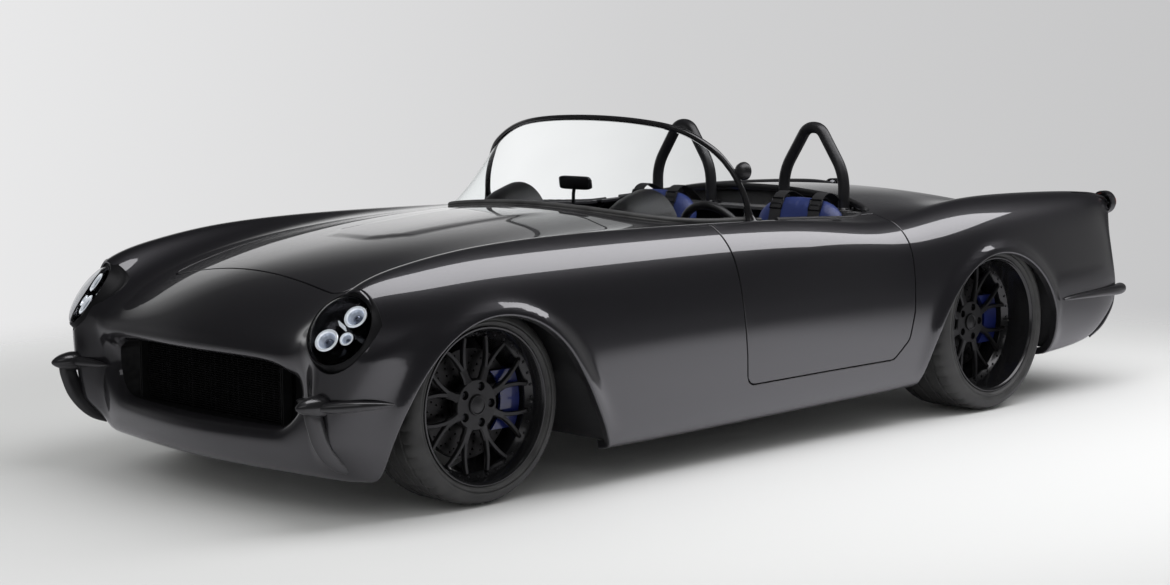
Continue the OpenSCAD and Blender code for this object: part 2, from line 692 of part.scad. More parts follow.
// Headlamps: oval rim and domed lens
LAMP_SIDES = 20;
function oval(r_add, k) = [(lamp_rx + r_add) * cos(360 * k / LAMP_SIDES),
    (lamp_ry + r_add) * sin(360 * k / LAMP_SIDES)];
RIM_PROFILE = [[-2, -40], [rim_w - 4, -40], [rim_w, 4], [rim_w - 8, 16], [2, 12], [-2, 4]];
module headlamp_rims() {
    color([0.08, 0.08, 0.09]) car() each_side() at_lamp()
        ring_of([for (k = [0 : LAMP_SIDES - 1]) [for (p = RIM_PROFILE) let (o = oval(p[0], k))
            [o.x, o.y, p[1]]]]);
}
// Closed ring through a list of equal loops
module ring_of(list) {
    n = len(list[0]);
    m = len(list);
    faces = [for (i = [0 : m - 1], k = [0 : n - 1])
        let (a = i * n + k, b = i * n + (k + 1) % n, c = ((i + 1) % m) * n + k,
            d = ((i + 1) % m) * n + (k + 1) % n)
        each [[a, b, d], [a, d, c]]];
    polyhedron([for (l = list) each l], faces, convexity = 4);
}
lens_rise = 42;
LENS_ROWS = 3;
module headlamp_lenses() {
    color([0.85, 0.88, 0.9]) car() each_side() at_lamp()
        tube_of([for (row = [0 : LENS_ROWS]) let (f = cos(86 * row / LENS_ROWS))
            [for (k = [LAMP_SIDES - 1 : -1 : 0]) let (o = oval(-2 - seat_gap, k))
                [o.x * f, o.y * f, -6 + lens_rise * sin(86 * row / LENS_ROWS)]]]);
}

// Tail lamps: domes on the ends of the pods
tail_lamp = [along(3545), 742, 768];
tail_lamp_r = 44;
module tail_lamps() {
    color([0.6, 0.1, 0.05]) car() each_side() translate(tail_lamp) rotate([0, 90, 0]) {
        cylinder(r = tail_lamp_r, h = 20, $fn = 48);
        translate([0, 0, 20]) intersection() {
            sphere(r = tail_lamp_r, $fn = 48);
            cylinder(r = tail_lamp_r, h = tail_lamp_r, $fn = 48);
        }
    }
}

// Bumper spears and the upright guard blades below them, as beads: x, y, z, radius
FRONT_SPEAR = [[-566, 560, 366, 7], [-546, 640, 385, 22], [-510, 722, 386, 25], [-450, 792, 380, 17],
    [-400, 826, 374, 6]];
FRONT_BLADE = [[-530, 690, 380, 14], [-510, 715, 280, 15], [-470, 690, 160, 12]];
REAR_SPEAR = [[3045, 886, 408, 6], [3250, 880, 410, 15], [3450, 862, 407, 24], [3560, 820, 404, 27],
    [3622, 790, 402, 9]];
REAR_BLADE = [[3590, 795, 390, 12], [3550, 790, 290, 13], [3400, 790, 195, 10]];
module beads(list) {
    for (i = [0 : len(list) - 2])
        hull() for (b = [list[i], list[i + 1]])
            translate([along(b.x), b.y, b.z]) sphere(r = b[3], $fn = 8);
}
module front_bumpers() {
    color([0.07, 0.07, 0.08]) car() each_side() {
        beads(FRONT_SPEAR);
        beads(FRONT_BLADE);
    }
}
module rear_bumpers() {
    color([0.07, 0.07, 0.08]) car() each_side() {
        beads(REAR_SPEAR);
        beads(REAR_BLADE);
    }
}

// Bucket seats: cushion, back and bolsters, as beads joined in pairs
cushion_x = along(1520);
cushion_l = 420;
cushion_top = 400;
back_top = 850;
back_lean = 110;
bolster_r = 45;
module pad(a, b, r) {
    hull() for (p = [a, b]) translate(p) sphere(r = r, $fn = 8);
}
module seat(s) {
    w = seat_w / 2;
    heel = cushion_x + cushion_l;
    color([0.1, 0.15, 0.4]) car() translate([0, s * seat_y, 0]) {
        hull() for (x = [cushion_x + 30, heel], y = [-w + 70, w - 70])
            translate([x, y, floor_top + seat_gap])
                cylinder(r = 25, h = cushion_top - floor_top - 60, $fn = 10);
        hull() for (x = [cushion_x + 20, heel - 40], y = [-w + 60, w - 60])
            translate([x, y, cushion_top - 40]) sphere(r = 40, $fn = 8);
        hull() for (y = [-w + 60, w - 60]) {
            translate([heel - 30, y, cushion_top - 60]) sphere(r = 50, $fn = 8);
            translate([heel + back_lean - 50, y, back_top - 60]) sphere(r = 34, $fn = 8);
        }
        for (y = [-w + bolster_r, w - bolster_r]) {
            pad([cushion_x + 40, y, cushion_top - 40], [heel - 30, y, cushion_top + 10], bolster_r);
            pad([heel - 40, y, cushion_top], [heel + 10, y, cushion_top + 250], bolster_r);
            pad([heel + 10, y, cushion_top + 250], [heel + back_lean - 60, y * 0.8, back_top - 50],
                bolster_r - 8);
        }
    }
}
module seat_left() { seat(left); }
module seat_right() { seat(right); }

// Roll hoops on the shelf: two legs, knees and a round head each, swept along a line with rounded corners
hoop_x = along(2100);
hoop_y = 350;
hoop_top = 1143;
hoop_leg = 152;
hoop_knee = 145;
hoop_head = 34;
hoop_rise = hoop_top - shelf_z - hoop_d / 2;
HOOP = [[0, -hoop_leg, 0], [0, -hoop_leg, hoop_knee], [0, -hoop_head, hoop_rise], [0, hoop_head, hoop_rise],
    [0, hoop_leg, hoop_knee], [0, hoop_leg, 0]];
BEND_STEPS = 3;
// Line through points, each corner rounded over a length on both sides of it
function rounded(p, reach) = concat([p[0]], [for (i = [1 : len(p) - 2]) let (
        a = p[i] + reach[i] * unit(p[i - 1] - p[i]), b = p[i] + reach[i] * unit(p[i + 1] - p[i]))
    for (k = [0 : BEND_STEPS]) let (t = k / BEND_STEPS) mix(mix(a, p[i], t), mix(p[i], b, t), t)],
        [p[len(p) - 1]]);
module roll_hoops() {
    color([0.03, 0.03, 0.03]) car() each_side() translate([hoop_x, hoop_y, shelf_z])
        swept_bar(rounded(HOOP, [0, 60, 32, 32, 60, 0]), hoop_d / 2, [1, 0, 0]);
}

// Steering: column from the dashboard to the wheel, on the left
column_y = -seat_y;
column_tilt = 68;
wheel_hub = [along(1500), column_y, 700];
column_r = 22;
boss_r = 34;
spindle_r = 9;
spindle_l = 22;
module at_steering() {
    translate(wheel_hub) rotate([0, column_tilt, 0]) children();
}
column_l = (wheel_hub.x - dash_rear_x + 100) / sin(column_tilt);
module steering_column() {
    color([0.05, 0.05, 0.05]) car() {
        at_steering() {
            translate([0, 0, -column_l]) cylinder(r = column_r, h = column_l - spindle_l, $fn = 32);
            translate([0, 0, -spindle_l]) cylinder(r = spindle_r, h = spindle_l, $fn = 32);
        }
    }
}
rim_tube_d = 30;
SPOKES = [90, 210, 330];
module steering_wheel() {
    color([0.04, 0.04, 0.05]) car() at_steering() difference() {
        union() {
            rotate_extrude($fn = 64) translate([(steering_d - rim_tube_d) / 2, 0])
                circle(d = rim_tube_d, $fn = 24);
            translate([0, 0, -spindle_l + lug_gap]) cylinder(r = boss_r, h = spindle_l + 14, $fn = 32);
            for (a = SPOKES) rotate([0, 0, a]) translate([0, -16, -4])
                cube([(steering_d - rim_tube_d) / 2, 32, 8]);
        }
        translate([0, 0, -spindle_l - 1]) cylinder(r = spindle_r + running,
            h = spindle_l + 1 + lug_gap, $fn = 32);
    }
}

// Mirrors: one on a stalk on the dashboard, a round one on the left screen pillar
mirror_mid = [1150, 0, 933];
pillar_mirror = [1322, -690, 1000];
pillar_mirror_r = 46;
stem_l = 44;
module mirrors() {
    color([0.03, 0.03, 0.03]) car() {
        translate([1130, 0, dash_top]) cylinder(r = 22, h = 10, $fn = 32);
        translate([1130, 0, dash_top + 8]) cylinder(r = 7, h = mirror_mid.z - dash_top - 20, $fn = 24);
        translate(mirror_mid) rotate([0, -8, 0]) {
            translate([-22, -82, -22]) cube([24, 164, 50]);
        }
        translate(pillar_mirror) rotate([0, 90, 0]) {
            cylinder(r = pillar_mirror_r, h = 18, $fn = 48);
            translate([0, 0, -30]) cylinder(r1 = 16, r2 = pillar_mirror_r, h = 30.5, $fn = 48);
        }
        translate(pillar_mirror - [22, 0, 0]) rotate([-90, 0, 0]) cylinder(r = 8, h = stem_l, $fn = 24);
    }
}

// Gear lever in its gaiter on the tunnel
lever = [along(1440), 0, tunnel_top];
module gear_lever() {
    color([0.04, 0.04, 0.05]) car() translate(lever) {
        cylinder(r1 = 60, r2 = 14, h = 70, $fn = 48);
        cylinder(r = 8, h = 180, $fn = 24);
        translate([0, 0, 190]) sphere(r = 24, $fn = 32);
    }
}

// Engine and gearbox as one plain block, on lugs that meet the rails
engine = [130, 230, 260];
engine_l = 640;
engine_top = 690;
gearbox_l = 640;
gearbox_w = 220;
module engine_block() {
    color([0.25, 0.25, 0.27]) car() {
        translate([engine.x, -engine.y, engine.z]) cube([engine_l, 2 * engine.y, engine_top - engine.z]);
        translate([engine.x + engine_l, -gearbox_w / 2, engine.z]) cube([gearbox_l, gearbox_w, 140]);
        translate([engine.x + 220, -rail_y + rail_w / 2, rail_front_top - rail_h])
            cube([120, 2 * rail_y - rail_w, 70]);
    }
}

// Front axle: towers on the rails, two arms a side and the steering pin between them
pin_r = 14;
arm_low = front_tyre_r - 132;
arm_high = front_tyre_r + 108;
arm_h = 26;
tower_w = 60;
module arm(z) {
    for (s = [left, right])
        translate([0, kingpin_y, z]) rotate([0, 0, -90 + s * 26])
            translate([0, -14, 0]) cube([(kingpin_y - rail_y) / cos(26), 28, arm_h]);
    translate([0, kingpin_y, z]) cylinder(r = 26, h = arm_h, $fn = 32);
}
module front_axle() {
    color([0.12, 0.12, 0.13]) car() each_side() {
        difference() {
            union() {
                arm(arm_low);
                arm(arm_high);
            }
            translate([-far / 2, 0, 0]) cube([far, rail_y + rail_w / 2, far]);
        }
        translate([0, kingpin_y, arm_low]) cylinder(r = pin_r, h = arm_high + arm_h - arm_low, $fn = 32);
        translate([-200, rail_y + rail_w / 2, arm_low]) cube([400, 14, arm_high + arm_h - arm_low]);
    }
}

// Rear axle: tube with a differential housing, spring blocks up to the rails, spindles for the hubs
axle_r = 42;
axle_end = 640;
rear_spindle_r = 22;
spring_r = 55;
module rear_axle() {
    color([0.12, 0.12, 0.13]) car() translate([along(drawn_wheelbase), 0, rear_tyre_r]) {
        rotate([90, 0, 0]) cylinder(r = axle_r, h = 2 * axle_end, center = true, $fn = 48);
        sphere(r = 140, $fn = 48);
        rotate([90, 0, 0]) cylinder(r = rear_spindle_r, h = 2 * (rear_lip_y - rear_dish - 12),
            center = true, $fn = 48);
        each_side() translate([0, rail_y, 0])
            cylinder(r = spring_r, h = rail_rear_top - rail_h - rear_tyre_r, $fn = 48);
    }
}

// Exhaust: a pipe a side from the engine's flank, over the rail and under the floor, swelling to a silencer
pipe_r = 28;
pipe_y = 425;
pipe_z = 150;
silencer_r = 44;
PIPE = [[560, engine.y, 400], [560, pipe_y, 400], [790, pipe_y, pipe_z], [along(1250), pipe_y, pipe_z],
    [along(1290), pipe_y, pipe_z], [along(1760), pipe_y, pipe_z], [along(1800), pipe_y, pipe_z],
        [along(2090), pipe_y, pipe_z]];
module exhaust() {
    line = rounded(PIPE, [0, 60, 60, 1, 1, 1, 1, 0]);
    swollen = [for (q = line) q.x > PIPE[3].x + 20 && q.x < PIPE[6].x - 20 ? silencer_r : pipe_r];
    color([0.5, 0.5, 0.52]) car() each_side() swept_bar(line, swollen, [0.1, 0.3, 1]);
}

// Knuckles: tube on the steering pin, wheel spindle and the arm that holds the caliper
spindle_front_r = 18;
tube_r = 22;
knuckle_z0 = arm_low + arm_h + lug_gap;
knuckle_z1 = arm_high - lug_gap;
function disc_y(lip_y, dish) = lip_y - dish - 62;
disc_y_front = disc_y(front_lip_y, front_dish);
module knuckle(s) {
    color([0.3, 0.3, 0.32]) car() on_side(s) difference() {
        union() {
            translate([0, kingpin_y, knuckle_z0]) cylinder(r = tube_r, h = knuckle_z1 - knuckle_z0, $fn = 48);
            translate([0, kingpin_y, front_tyre_r]) rotate([-90, 0, 0])
                cylinder(r = spindle_front_r, h = front_lip_y - front_dish - 12 - kingpin_y, $fn = 48);
            translate([0, kingpin_y - 10, front_tyre_r - 40]) cube([150, 22, 80]);
        }
        translate([0, kingpin_y, 0]) cylinder(r = pin_r + running, h = far, $fn = 48);
    }
}
module knuckle_left() { knuckle(left); }
module knuckle_right() { knuckle(right); }

// Calipers: a block over the disc's rear edge, open where the disc runs
caliper_in_r = 128;
caliper_out_r = 208;
caliper_h = 190;
disc_t = 26;
module caliper(disc_mid, carrier_y, axle_z) {
    translate([0, carrier_y, axle_z]) rotate([-90, 0, 0]) difference() {
        intersection() {
            difference() {
                cylinder(r = caliper_out_r, h = 2 * (disc_mid - carrier_y), $fn = 64);
                translate([0, 0, -1]) cylinder(r = caliper_in_r, h = far, $fn = 64);
            }
            translate([0, -caliper_h / 2, 0]) cube([far, caliper_h, far]);
        }
        translate([0, 0, disc_mid - carrier_y - disc_t / 2 - 5])
            cylinder(r = disc_r + 6, h = disc_t + 10, $fn = 64);
    }
}
front_carrier_y = kingpin_y + 12;
module caliper_front(s) {
    color([0.05, 0.15, 0.55]) car() on_side(s) caliper(disc_y_front, front_carrier_y, front_tyre_r);
}
module caliper_front_left() { caliper_front(left); }
module caliper_front_right() { caliper_front(right); }
disc_y_rear = disc_y(rear_lip_y, rear_dish);
rear_carrier_y = disc_y_rear - 36;
module calipers_rear() {
    color([0.05, 0.15, 0.55]) car() each_side() {
        translate([along(drawn_wheelbase), 0, 0]) caliper(disc_y_rear, rear_carrier_y, rear_tyre_r);
        translate([along(drawn_wheelbase), rear_carrier_y - 20, rear_tyre_r - 30]) difference() {
            cube([caliper_in_r + 40, 20, 60]);
            translate([0, -1, 30]) rotate([-90, 0, 0]) cylinder(r = axle_r + seat_gap, h = 22, $fn = 48);
        }
    }
}

// Wheels. A wheel is built about its own axis, with z = 0 at the outer lip and the car at -z.
module at_wheel(s, x, lip_y, r) {
    car() on_side(s) translate([along(x), lip_y, r]) rotate([-90, 0, 0]) children();
}
rim_wall = 8;
barrel_drop = 30;
bead_gap = 0.3;
// How far the sidewall stands out beyond the lip
bulge = 6;
module tyre(r, w, lip_r) {
    shoulder = 34;
    color([0.05, 0.05, 0.05]) translate([0, 0, -w / 2 + bulge]) rotate_extrude($fn = 72) polygon([
        [lip_r - 6, -w / 2 + 14], [lip_r + bead_gap, -w / 2 + 14], [lip_r + 12, -w / 2],
            [r - shoulder - 8, -w / 2 - 2], [r - 12, -w / 2 + 18],
        [r - 2, -w / 2 + shoulder], [r, -w / 4], [r, w / 4], [r - 2, w / 2 - shoulder], [r - 12, w / 2 - 18],
        [r - shoulder - 8, w / 2 + 2], [lip_r + 12, w / 2], [lip_r + bead_gap, w / 2 - 14],
        [lip_r - 6, w / 2 - 14]]);
}
module rim(r_lip, w, dish) {
    bead = r_lip - 6 - bead_gap;
    depth = w - 2 * bulge;
    face_z = -dish;
    color([0.03, 0.03, 0.03]) {
        rotate_extrude($fn = 72) polygon([
            [r_lip, -1], [r_lip, -8], [bead, -8], [bead, -depth + 8], [r_lip, -depth + 8], [r_lip, -depth],
            [bead - rim_wall, -depth], [bead - rim_wall - 4, -depth + 30], [bead - barrel_drop, -depth + 60],
            [bead - barrel_drop, face_z - 16], [bead - rim_wall, face_z + 10], [bead - rim_wall, -1]]);
        translate([0, 0, face_z - 24]) linear_extrude(24) spokes(bead - barrel_drop + 2);
    }
}
// Forked spokes: a stem each, from the hub face to the fork, and two arms on to the barrel
SPOKE_PAIRS = 8;
spoke_w = 13;
stem_w = 22;
fork_r = 124;
hub_face_r = 82;
stud_pcd = 120.7;
stud_count = 5;
stud_hole_r = 7.5;
module spoke_arm(run) {
    translate([fork_r - stem_w / 2, 0]) rotate(atan2(run.y, run.x)) translate([0, -spoke_w / 2])
        square([norm(run), spoke_w]);
}
module spokes(reach) {
    difference() {
        union() {
            circle(r = hub_face_r, $fn = 48);
            for (k = [0 : SPOKE_PAIRS - 1]) rotate((k + 0.5) * 360 / SPOKE_PAIRS) {
                translate([hub_face_r - 20, -stem_w / 2]) square([fork_r - hub_face_r + 20, stem_w]);
                for (turn = [-90, 90] / SPOKE_PAIRS)
                    spoke_arm(reach * [cos(turn), sin(turn)] - [fork_r - stem_w / 2, 0]);
            }
        }
        for (k = [0 : stud_count - 1]) rotate(k * 360 / stud_count) translate([stud_pcd / 2, 0])
            circle(r = stud_hole_r, $fn = 24);
        circle(r = spindle_front_r + 18, $fn = 32);
    }
}
// Hub with its disc, bored for the spindle and standing behind the spokes
hub_r = 68;
module hub(dish, bore_r) {
    face_z = -dish - 24;
    color([0.35, 0.35, 0.36]) difference() {
        union() {
            translate([0, 0, face_z - 38 - disc_t / 2]) cylinder(r = disc_r, h = disc_t, $fn = 72);
            translate([0, 0, face_z - 38 - disc_t / 2]) cylinder(r = hub_r, h = 38 + disc_t / 2, $fn = 48);
            translate([0, 0, face_z - 1]) cylinder(r = spindle_front_r + 17, h = 30, $fn = 48);
        }
        translate([0, 0, face_z - 100]) cylinder(r = bore_r + running, h = 100 + 13, $fn = 48);
    }
}
module front_rim(s) { at_wheel(s, 0, front_lip_y, front_tyre_r) rim(front_lip_r, front_tyre_w, front_dish); }
module rear_rim(s) { at_wheel(s, drawn_wheelbase, rear_lip_y, rear_tyre_r)
    rim(rear_lip_r, rear_tyre_w, rear_dish); }
module front_hub(s) { at_wheel(s, 0, front_lip_y, front_tyre_r) hub(front_dish, spindle_front_r); }
module rear_hub(s) { at_wheel(s, drawn_wheelbase, rear_lip_y, rear_tyre_r) hub(rear_dish, rear_spindle_r); }
module front_tyre(s) { at_wheel(s, 0, front_lip_y, front_tyre_r)
    tyre(front_tyre_r, front_tyre_w, front_lip_r); }
module rear_tyre(s) { at_wheel(s, drawn_wheelbase, rear_lip_y, rear_tyre_r)
    tyre(rear_tyre_r, rear_tyre_w, rear_lip_r); }
module tyre_front_left() { front_tyre(left); }
module tyre_front_right() { front_tyre(right); }
module tyre_rear_left() { rear_tyre(left); }
module tyre_rear_right() { rear_tyre(right); }
module rim_front_left() { front_rim(left); }
module rim_front_right() { front_rim(right); }
module rim_rear_left() { rear_rim(left); }
module rim_rear_right() { rear_rim(right); }
module hub_front_left() { front_hub(left); }
module hub_front_right() { front_hub(right); }
module hub_rear_left() { rear_hub(left); }
module hub_rear_right() { rear_hub(right); }

nose();
fender_left();
fender_right();
quarter_left();
quarter_right();
tail();
hood();
boot_lid();
door_left();
door_right();
hood_straps();
lid_straps();
door_straps_left();
door_straps_right();
hinge_posts();
front_crossmember();
rail_left();
rail_right();
cross_tubes();
floor_tub();
bulkheads();
dashboard();
windscreen_frame();
windscreen_glass();
radiator();
headlamp_rims();
headlamp_lenses();
tail_lamps();
front_bumpers();
rear_bumpers();
seat_left();
seat_right();
roll_hoops();
steering_column();
steering_wheel();
mirrors();
gear_lever();
engine_block();
front_axle();
rear_axle();
exhaust();
knuckle_left();
knuckle_right();
caliper_front_left();
caliper_front_right();
calipers_rear();
tyre_front_left();
tyre_front_right();
tyre_rear_left();
tyre_rear_right();
rim_front_left();
rim_front_right();
rim_rear_left();
rim_rear_right();
hub_front_left();
hub_front_right();
hub_rear_left();
hub_rear_right();
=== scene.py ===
# Looks of the two-seat open roadster: a dense body skin with shut lines and rolled edges, wheels with tread,
# spokes and drilled discs, lamps, screen, cockpit and a pale studio.
# Shapes are written in millimetres from the front axle, as in the part's source, and turned into the frame's
# metres by metres().
import math
import bpy
import numpy as np
from mathutils import Matrix


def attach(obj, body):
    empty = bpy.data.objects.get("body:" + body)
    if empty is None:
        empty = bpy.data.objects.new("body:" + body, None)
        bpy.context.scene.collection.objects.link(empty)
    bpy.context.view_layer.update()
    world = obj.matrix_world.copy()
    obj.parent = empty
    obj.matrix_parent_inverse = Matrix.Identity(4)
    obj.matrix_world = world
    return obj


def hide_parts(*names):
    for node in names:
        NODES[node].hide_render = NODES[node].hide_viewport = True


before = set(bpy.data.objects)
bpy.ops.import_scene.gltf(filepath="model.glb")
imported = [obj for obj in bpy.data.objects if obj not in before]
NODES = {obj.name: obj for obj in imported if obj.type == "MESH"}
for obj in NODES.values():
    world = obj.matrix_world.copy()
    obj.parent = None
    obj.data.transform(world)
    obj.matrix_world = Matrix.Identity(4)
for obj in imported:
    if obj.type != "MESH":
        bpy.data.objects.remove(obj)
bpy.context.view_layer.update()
scene = bpy.context.scene
# The frame's origin lies this far behind the front axle, in millimetres
SHIFT = 1512.1497
LEFT, RIGHT = -1, 1
SIDES = ((LEFT, "left"), (RIGHT, "right"))
MIRROR = np.array([1, -1, 1])


def metres(points):
    return (np.asarray(points, float).reshape(-1, 3) - [SHIFT, 0, 0]) / 1000


# Materials
class Graph:
    """Adds shader nodes in short form: an input takes a value or another node's output."""

    def __init__(self, tree):
        self.nodes, self.links = tree.nodes, tree.links

    def put(self, socket, value):
        if isinstance(value, bpy.types.NodeSocket):
            self.links.new(value, socket)
        else:
            socket.default_value = value

    def add(self, kind, inputs=(), **settings):
        made = self.nodes.new("ShaderNode" + kind)
        for name, value in settings.items():
            setattr(made, name, value)
        for name, value in dict(inputs).items():
            self.put(made.inputs[name], value)
        return made

    def span(self, value, start, end, low=0.0, high=1.0, **settings):
        """Maps a value from start..end to low..high."""
        inputs = {"Value": value, "From Min": start, "From Max": end, "To Min": low, "To Max": high}
        return self.add("MapRange", inputs, **settings).outputs["Result"]

    def toward(self, vector, direction):
        """How far a vector points in a direction."""
        return self.add("VectorMath", {0: vector, 1: direction}, operation="DOT_PRODUCT").outputs["Value"]

    def ramp(self, value, first, last, *between):
        """Colour ramp through stops of place and colour."""
        made = self.add("ValToRGB", {"Fac": value})
        stops = made.color_ramp.elements
        for stop, (place, colour) in zip((stops[0], stops[1]), (first, last)):
            stop.position, stop.color = place, (*colour, 1)
        for place, colour in between:
            stops.new(place).color = (*colour, 1)
        return made.outputs["Color"]

    def by_ray(self, plain, glossy, **settings):
        """One value for glossy rays and another for the rest."""
        ray = self.add("LightPath").outputs["Is Glossy Ray"]
        return self.add("Mix", {"Factor": ray, "A": plain, "B": glossy}, **settings).outputs["Result"]


def material(name, colour, rough, cloud=6.0, vary=0.15, spread=0.05, grain=0.0, bump=0.0, lift=0.001,
             cells=False, stretch=(1, 1, 1), **sockets):
    """Principled material: colour and roughness drift over clouds, and a fine grain or cells raise a bump."""
    made = bpy.data.materials.new(name)
    made.use_nodes = True
    graph = Graph(made.node_tree)
    shader = graph.nodes["Principled BSDF"].inputs
    for socket, value in sockets.items():
        shader[socket.replace("_", " ")].default_value = value
    where = graph.add("TexCoord").outputs["Object"]
    fit = graph.add("Mapping", {"Scale": stretch, "Vector": where}).outputs["Vector"]
    mist = graph.add("TexNoise", {"Scale": cloud, "Detail": 5, "Vector": fit}).outputs["Fac"]
    darker, paler = [c * (1 - vary) for c in colour], [min(1, c * (1 + vary)) for c in colour]
    graph.put(shader["Base Color"], graph.ramp(mist, (0.3, darker), (0.7, paler)))
    graph.put(shader["Roughness"], graph.span(mist, 0.3, 0.7, max(0.02, rough - spread), rough + spread))
    if grain:
        fine = graph.add("TexVoronoi" if cells else "TexNoise", {"Scale": grain, "Vector": fit})
        height = fine.outputs["Distance" if cells else "Fac"]
        raised = graph.add("Bump", {"Strength": bump, "Distance": lift, "Height": height})
        graph.put(shader["Normal"], raised.outputs["Normal"])
    return made


def clear(name, tint, rough, weight=1.0, ior=1.45, **more):
    return material(name, tint, rough, cloud=3, vary=0.02, spread=0.01, Transmission_Weight=weight, IOR=ior, **more)


PAINT = material("charcoal_paint", (0.0145, 0.0139, 0.0165), 0.36, cloud=2200, vary=0.5, spread=0.06, Metallic=0.45,
                 Coat_Weight=1.0, Coat_Roughness=0.025, Coat_IOR=1.68)
LINER = material("moulded_black", (0.012, 0.012, 0.013), 0.75, cloud=30, vary=0.3, grain=500, bump=0.35)
SATIN = material("satin_black", (0.010, 0.010, 0.011), 0.38, cloud=20, vary=0.2, grain=900, bump=0.06)
RUBBER = material("tyre_rubber", (0.04, 0.04, 0.039), 0.62, cloud=14, vary=0.35, spread=0.1, grain=1400, bump=0.18)
# RIM_BLACK and IRON are set darker than a bare black rim and grey iron: partly their own colour, partly painted shade
# inside the wheel arch
RIM_BLACK = material("rim_black", (0.006, 0.006, 0.0063), 0.38, cloud=18, vary=0.25)
LIP_BLACK = material("lip_black", (0.007, 0.007, 0.0075), 0.24, cloud=9, vary=0.2, spread=0.03, Coat_Weight=0.3)
IRON = material("turned_iron", (0.04, 0.0395, 0.039), 0.42, cloud=40, vary=0.25, spread=0.08, grain=700, bump=0.12,
                Metallic=1.0)
STEEL = material("brushed_steel", (0.42, 0.42, 0.43), 0.30, cloud=30, vary=0.15, Metallic=1.0, stretch=(1, 6, 6))
CHROME = material("bright_chrome", (0.80, 0.81, 0.83), 0.06, cloud=5, vary=0.05, spread=0.02, Metallic=1.0)
CAST = material("cast_alloy", (0.20, 0.20, 0.21), 0.55, cloud=25, vary=0.3, grain=420, bump=0.3, Metallic=0.85)
FRAME_STEEL = material("frame_steel", (0.016, 0.016, 0.017), 0.5, cloud=12, vary=0.4, grain=350, bump=0.2)
# The caliper's blue is set darker than the bare part: partly its own colour, partly painted shade inside the wheel
# arch
CALIPER = material("caliper_blue", (0.005, 0.011, 0.085), 0.32, cloud=30, vary=0.2, grain=600, bump=0.08,
                   Coat_Weight=0.7)
CARPET = material("black_carpet", (0.013, 0.013, 0.014), 0.95, cloud=60, vary=0.5, grain=1600, bump=0.9, lift=0.003,
                  Sheen_Weight=0.25)
BLUE_HIDE = material("blue_leather", (0.016, 0.028, 0.115), 0.42, cloud=9, vary=0.22, spread=0.07, grain=420,
                     bump=0.22, cells=True)
BLACK_HIDE = material("black_leather", (0.012, 0.012, 0.0125), 0.48, cloud=9, vary=0.3, spread=0.07, grain=420,
                      bump=0.25, cells=True)
WEBBING = material("black_webbing", (0.011, 0.011, 0.012), 0.8, cloud=400, vary=0.4, grain=1100, bump=0.6,
                   stretch=(1, 1, 0.4))
GLASS = clear("clear_glass", (0.93, 0.945, 0.945), 0.02, ior=1.03)
LENS = clear("lamp_lens", (0.96, 0.97, 0.98), 0.03, ior=1.06)
RED = clear("red_lens", (0.42, 0.035, 0.02), 0.12, weight=0.55, grain=700, bump=0.15)
DIAL = material("dial_face", (0.02, 0.02, 0.022), 0.6, cloud=60, vary=0.2)
MARK = material("dial_mark", (0.75, 0.74, 0.70), 0.5, cloud=60, vary=0.08)
GRILLE = material("grille_black", (0.006, 0.006, 0.0065), 0.6, cloud=50, vary=0.4, grain=500, bump=0.2,
                  Specular_IOR_Level=0.15)
STEEL_DARK = material("dark_steel", (0.05, 0.05, 0.053), 0.38, cloud=60, vary=0.2, Metallic=0.9)
BEZEL = material("bezel_satin", (0.007, 0.007, 0.0075), 0.42, cloud=10, vary=0.2, grain=700, bump=0.05,
                 Specular_IOR_Level=0.12)
BOWL = material("lamp_bowl", (0.05, 0.05, 0.055), 0.22, cloud=40, vary=0.3, Metallic=0.9)
PROJECTOR = material("projector_glass", (0.16, 0.19, 0.26), 0.05, cloud=60, vary=0.1, spread=0.02, Metallic=0.55,
                     Coat_Weight=1.0)
# The lamp cones and the chrome reflector rings glow faintly: painted reflection of the studio light
GLOWING_CONE = material("lamp_cone", (0.55, 0.60, 0.70), 0.15, cloud=60, vary=0.1, Metallic=0.6,
                Emission_Color=(0.8, 0.88, 1.0, 1), Emission_Strength=0.16)
GLOWING_CHROME = material("halo_ring", (0.80, 0.82, 0.86), 0.12, cloud=60, vary=0.1, Metallic=0.7,
                Emission_Color=(0.9, 0.95, 1.0, 1), Emission_Strength=0.42)
BUMPER = material("bumper_dark", (0.014, 0.0137, 0.015), 0.30, cloud=5, vary=0.06, spread=0.02, Coat_Weight=0.6,
                  Coat_Roughness=0.06)
SCREEN_BLACK = material("screen_black", (0.010, 0.010, 0.0105), 0.22, cloud=25, vary=0.2, Coat_Weight=0.5)


# Meshes
def circle(steps):
    return np.linspace(0, 2 * math.pi, steps, endpoint=False)


def unit(vectors):
    return vectors / np.linalg.norm(vectors, axis=-1, keepdims=True)


def ease(t):
    """Smooth step from 0 to 1."""
    t = np.clip(t, 0, 1)
    return t * t * (3 - 2 * t)


def flipped(faces):
    return [tuple(reversed(f)) for f in faces]


def shifted(faces, by):
    return [tuple(i + by for i in f) for f in faces]


def join(*parts):
    """Puts several (points, faces) together."""
    points, faces, base = [], [], 0
    for part_points, part_faces in parts:
        points.append(np.asarray(part_points, float).reshape(-1, 3))
        faces += shifted(part_faces, base)
        base += len(points[-1])
    return np.concatenate(points), faces


def moved(part, matrix=None, offset=(0, 0, 0)):
    points = np.asarray(part[0], float).reshape(-1, 3)
    if matrix is not None:
        points = points @ np.asarray(matrix, float).T
    return points + np.asarray(offset, float), part[1]


def mirrored(part):
    return np.asarray(part[0], float) * MIRROR, flipped(part[1])


def on_side(part, side):
    return part if side == RIGHT else mirrored(part)


def turn(axis, degrees):
    return np.array(Matrix.Rotation(math.radians(degrees), 3, axis))


